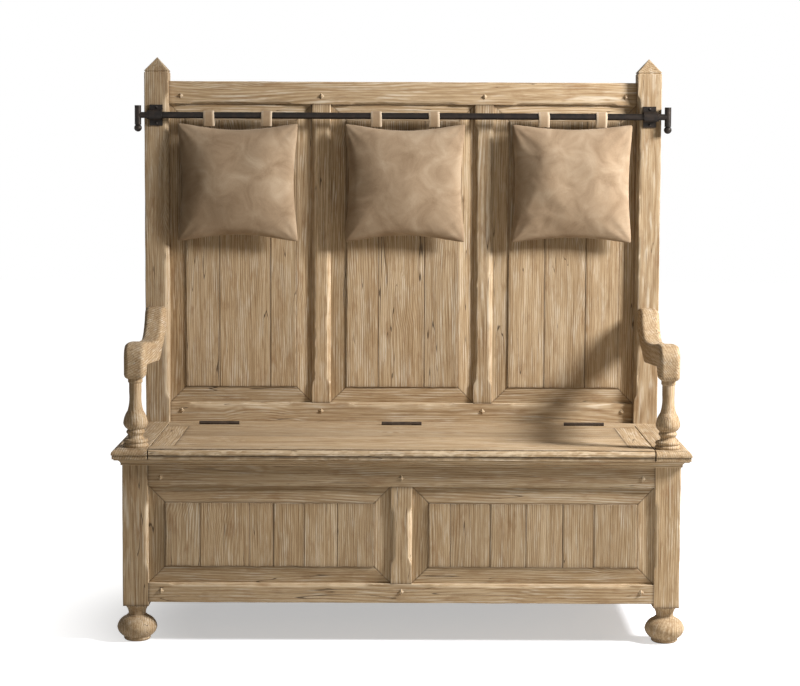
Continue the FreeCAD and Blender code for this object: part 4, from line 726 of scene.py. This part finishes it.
# Cushions: two layers of suede sewn together round their edge and filled. With a and b from
# -1 to 1 over the face, the outline pulls in between its corners: x is a times the half width,
# less pullX of it where b is 0, and z likewise with pullZ. The crown is its height times the
# bulge power of (1 - |a|^swell)(1 - |b|^swell). A short cloth run under pressure bends that
# shape, and a share of what it moves is kept.
pillow = {"cells": 56, "pullX": 0.08, "pullZ": 0.115, "corner": 0.035, "swell": 2.5, "bulge": 0.62,
          "front": 41 * mm, "behind": 28 * mm, "lumps": 0.09, "lumpPitch": 70 * mm, "fold": 1.3 * mm,
          "foldTurns": 11, "grow": 1.008, "lift": 10 * mm, "pressure": 1.6, "frames": 14, "cap": 22 * mm,
          "share": 0.35}


def makeCushion(word, number):
    low, high = boxes["cushion_" + word]
    centre = (low + high) / 2 + np.array((0, 0, pillow["lift"]))
    half = (high - low) / 2 * pillow["grow"]
    count = pillow["cells"] + 1
    a, b = np.meshgrid(np.linspace(-1, 1, count), np.linspace(-1, 1, count), indexing="ij")
    ear = 1 - pillow["corner"] * np.abs(a * b) ** 8
    x = a * ear * half[0] * (1 - pillow["pullX"] * (1 - b * b))
    z = b * ear * half[2] * (1 - pillow["pullZ"] * (1 - a * a))
    full = ((1 - np.abs(a) ** pillow["swell"]) * (1 - np.abs(b) ** pillow["swell"])) ** pillow["bulge"]
    # folds run from the corners and fade towards the middle; the stuffing lies unevenly
    turn = np.arctan2(1.02 - np.abs(b), 1.02 - np.abs(a))
    wave = np.sin(turn * pillow["foldTurns"] + number + 2 * np.sign(a) + np.sign(b))
    fold = np.abs(a * b) ** 1.5 * wave * pillow["fold"]
    lumpy = 1 + pillow["lumps"] * ripple(x, z, pillow["lumpPitch"], pillow["lumpPitch"], 81 + number)
    grids = []
    for side, crown in ((-1, pillow["front"]), (1, pillow["behind"])):
        y = side * (crown * full * lumpy + fold * np.minimum(1, full * 4))
        spots = np.stack([x, y, z], -1)
        grids.append((spots, spots, np.zeros(3)))
    piece = makePiece("cushion_" + word, grids, padSuede, "pad_" + word, ["cushion_" + word],
                      80)
    mesh = piece.data
    count = len(mesh.vertices)
    rest = np.zeros(count * 3)
    mesh.vertices.foreach_get("co", rest)
    rest = rest.reshape(-1, 3)
    blown = rest.copy()
    cloth = piece.modifiers.new("fill", "CLOTH")
    setup = cloth.settings
    setup.quality = 8
    setup.mass = 0.3
    setup.tension_stiffness = setup.compression_stiffness = 40
    setup.shear_stiffness = 20
    setup.bending_stiffness = 2.5
    setup.use_pressure = True
    setup.uniform_pressure_force = pillow["pressure"]
    setup.effector_weights.gravity = 0
    cloth.collision_settings.use_collision = False
    cloth.point_cache.frame_start, cloth.point_cache.frame_end = 1, pillow["frames"]
    for step in range(1, pillow["frames"] + 1):
        scene.frame_set(step)
    evaluated = piece.evaluated_get(bpy.context.evaluated_depsgraph_get()).to_mesh()
    blown = np.zeros(count * 3)
    evaluated.vertices.foreach_get("co", blown)
    blown = blown.reshape(-1, 3)
    piece.modifiers.remove(cloth)
    scene.frame_set(1)
    blown -= (blown.max(0) + blown.min(0)) / 2 - (rest.max(0) + rest.min(0)) / 2
    moved = np.clip(blown - rest, -pillow["cap"], pillow["cap"])
    blown = rest + pillow["share"] * moved
    size = (blown.max(0) - blown.min(0)) / 2
    blown[:, 0] *= half[0] / size[0]
    blown[:, 2] *= half[2] / size[2]
    face, rear = -blown[:, 1].min(), blown[:, 1].max()
    depth = blown[:, 1]
    blown[:, 1] = np.where(depth < 0, depth * pillow["front"] / face, depth * pillow["behind"] / rear)
    mesh.vertices.foreach_set("co", (blown + centre).astype(np.float32).ravel())
    mesh.update()
    smooth = piece.modifiers.new("smooth", "SUBSURF")
    smooth.levels = smooth.render_levels = 1
    print("cushion", word, "size mm", np.round((blown.max(0) - blown.min(0)) / mm, 1))


for number, word in enumerate(("left", "centre", "right")):
    low, high = boxes["cushion_loops_" + word]
    makeLoops(word, (low[0] + high[0]) / 2)
    makeCushion(word, number)
print("cushions made")


# Studio: white floor that keeps the shadow and fades into the white all round, a soft lamp
# that grazes the back from the right, and a weak low one in front. The shade is warm.
studio = {"floor": 14.0, "keyPlace": (2.55, -0.93, 2.15), "keyTarget": (0, 0.1, 0.75), "keySize": 0.7,
          "keyPower": 185, "fillPlace": (0.6, -2.9, 0.55), "fillTarget": (0, -0.3, 0.35), "fillSize": 1.8,
          "fillPower": 10, "ambient": 0.085, "floorLift": 0.45, "fadeFrom": 0.62, "fadeTo": 1.15}


def makeStudio():
    mesh = bpy.data.meshes.new("floor")
    reach = studio["floor"]
    corners = [(-reach, -reach, 0), (reach, -reach, 0), (reach, reach, 0), (-reach, reach, 0)]
    mesh.from_pydata(corners, [], [(0, 1, 2, 3)])
    floor = bpy.data.objects.new("floor", mesh)
    scene.collection.objects.link(floor)
    # matt white board: full diffuse white, and for the camera a light of its own that grows
    # away from the bench, so that the shadow stays and the rest is as white as the background
    material, put = newMaterial("studioBoard")
    diffuse = put("BsdfDiffuse", {"Color": linear("E6EDFA")}).outputs[0]
    spot = put("TexCoord").outputs["Object"]
    away = put("VectorMath", {0: spot, 1: (1.2, 1.15, 1.0)}, operation="MULTIPLY").outputs[0]
    away = put("VectorMath", {0: away}, operation="LENGTH").outputs["Value"]
    fade = {0: away, 1: studio["fadeFrom"], 2: studio["fadeTo"], 3: studio["floorLift"], 4: 1.0}
    lift = put("MapRange", fade, interpolation_type="SMOOTHSTEP").outputs[0]
    glow = put("Emission", {"Color": linear("FFFFFF"), "Strength": lift}).outputs[0]
    both = put("AddShader", {0: diffuse, 1: glow}).outputs[0]
    rays = put("LightPath").outputs
    seen = put("Math", {0: rays["Is Camera Ray"], 1: rays["Is Glossy Ray"]}, operation="MAXIMUM").outputs[0]
    dim = put("BsdfDiffuse", {"Color": linear("C8C4BC")}).outputs[0]
    mixed = put("MixShader", {0: seen, 1: dim, 2: both}).outputs[0]
    put("OutputMaterial", {0: mixed})
    mesh.materials.append(material)
    world = bpy.data.worlds.new("studio")
    scene.world = world
    world.use_nodes = True
    world.node_tree.nodes.clear()
    put = partial(addNode, world.node_tree)
    rays = put("LightPath").outputs
    seen = put("Math", {0: rays["Is Camera Ray"], 1: rays["Is Glossy Ray"]}, operation="MAXIMUM").outputs[0]
    seen = put("Math", {0: seen, 1: rays["Is Transmission Ray"]}, operation="MAXIMUM").outputs[0]
    white = put("Background", {"Color": linear("FFFFFF"), "Strength": 1.0}).outputs[0]
    fill = put("Background", {"Color": linear("FFE8CC"), "Strength": studio["ambient"]}).outputs[0]
    put("OutputWorld", {0: put("MixShader", {0: seen, 1: fill, 2: white}).outputs[0]})
    for name, colour in (("key", "FFF8F0"), ("fill", "FFF1DE")):
        light = bpy.data.lights.new(name, "AREA")
        light.shape, light.size, light.energy = "DISK", studio[name + "Size"], studio[name + "Power"]
        light.color = linear(colour)[:3]
        lamp = bpy.data.objects.new(name, light)
        lamp.location = studio[name + "Place"]
        aim = Vector(studio[name + "Target"]) - lamp.location
        lamp.rotation_euler = aim.to_track_quat("-Z", "Y").to_euler()
        scene.collection.objects.link(lamp)


# Camera: found by fitting the photograph, 800 pixels across a 36 mm sensor
view = {"lens": 100.05, "sensor": 36.0, "place": (-0.005, -5.5626, 1.1946), "down": 5.06, "roll": 0.25}


def makeCamera():
    data = bpy.data.cameras.new("camera")
    data.lens, data.sensor_width = view["lens"], view["sensor"]
    data.clip_start, data.clip_end = 0.1, 60
    camera = bpy.data.objects.new("camera", data)
    tilt = Matrix.Rotation(math.radians(90 - view["down"]), 4, "X")
    roll = Matrix.Rotation(math.radians(view["roll"]), 4, "Z")
    camera.matrix_world = Matrix.Translation(view["place"]) @ tilt @ roll
    scene.collection.objects.link(camera)
    scene.camera = camera


makeStudio()
makeCamera()
scene.view_settings.view_transform = "Standard"
print("studio and camera made")
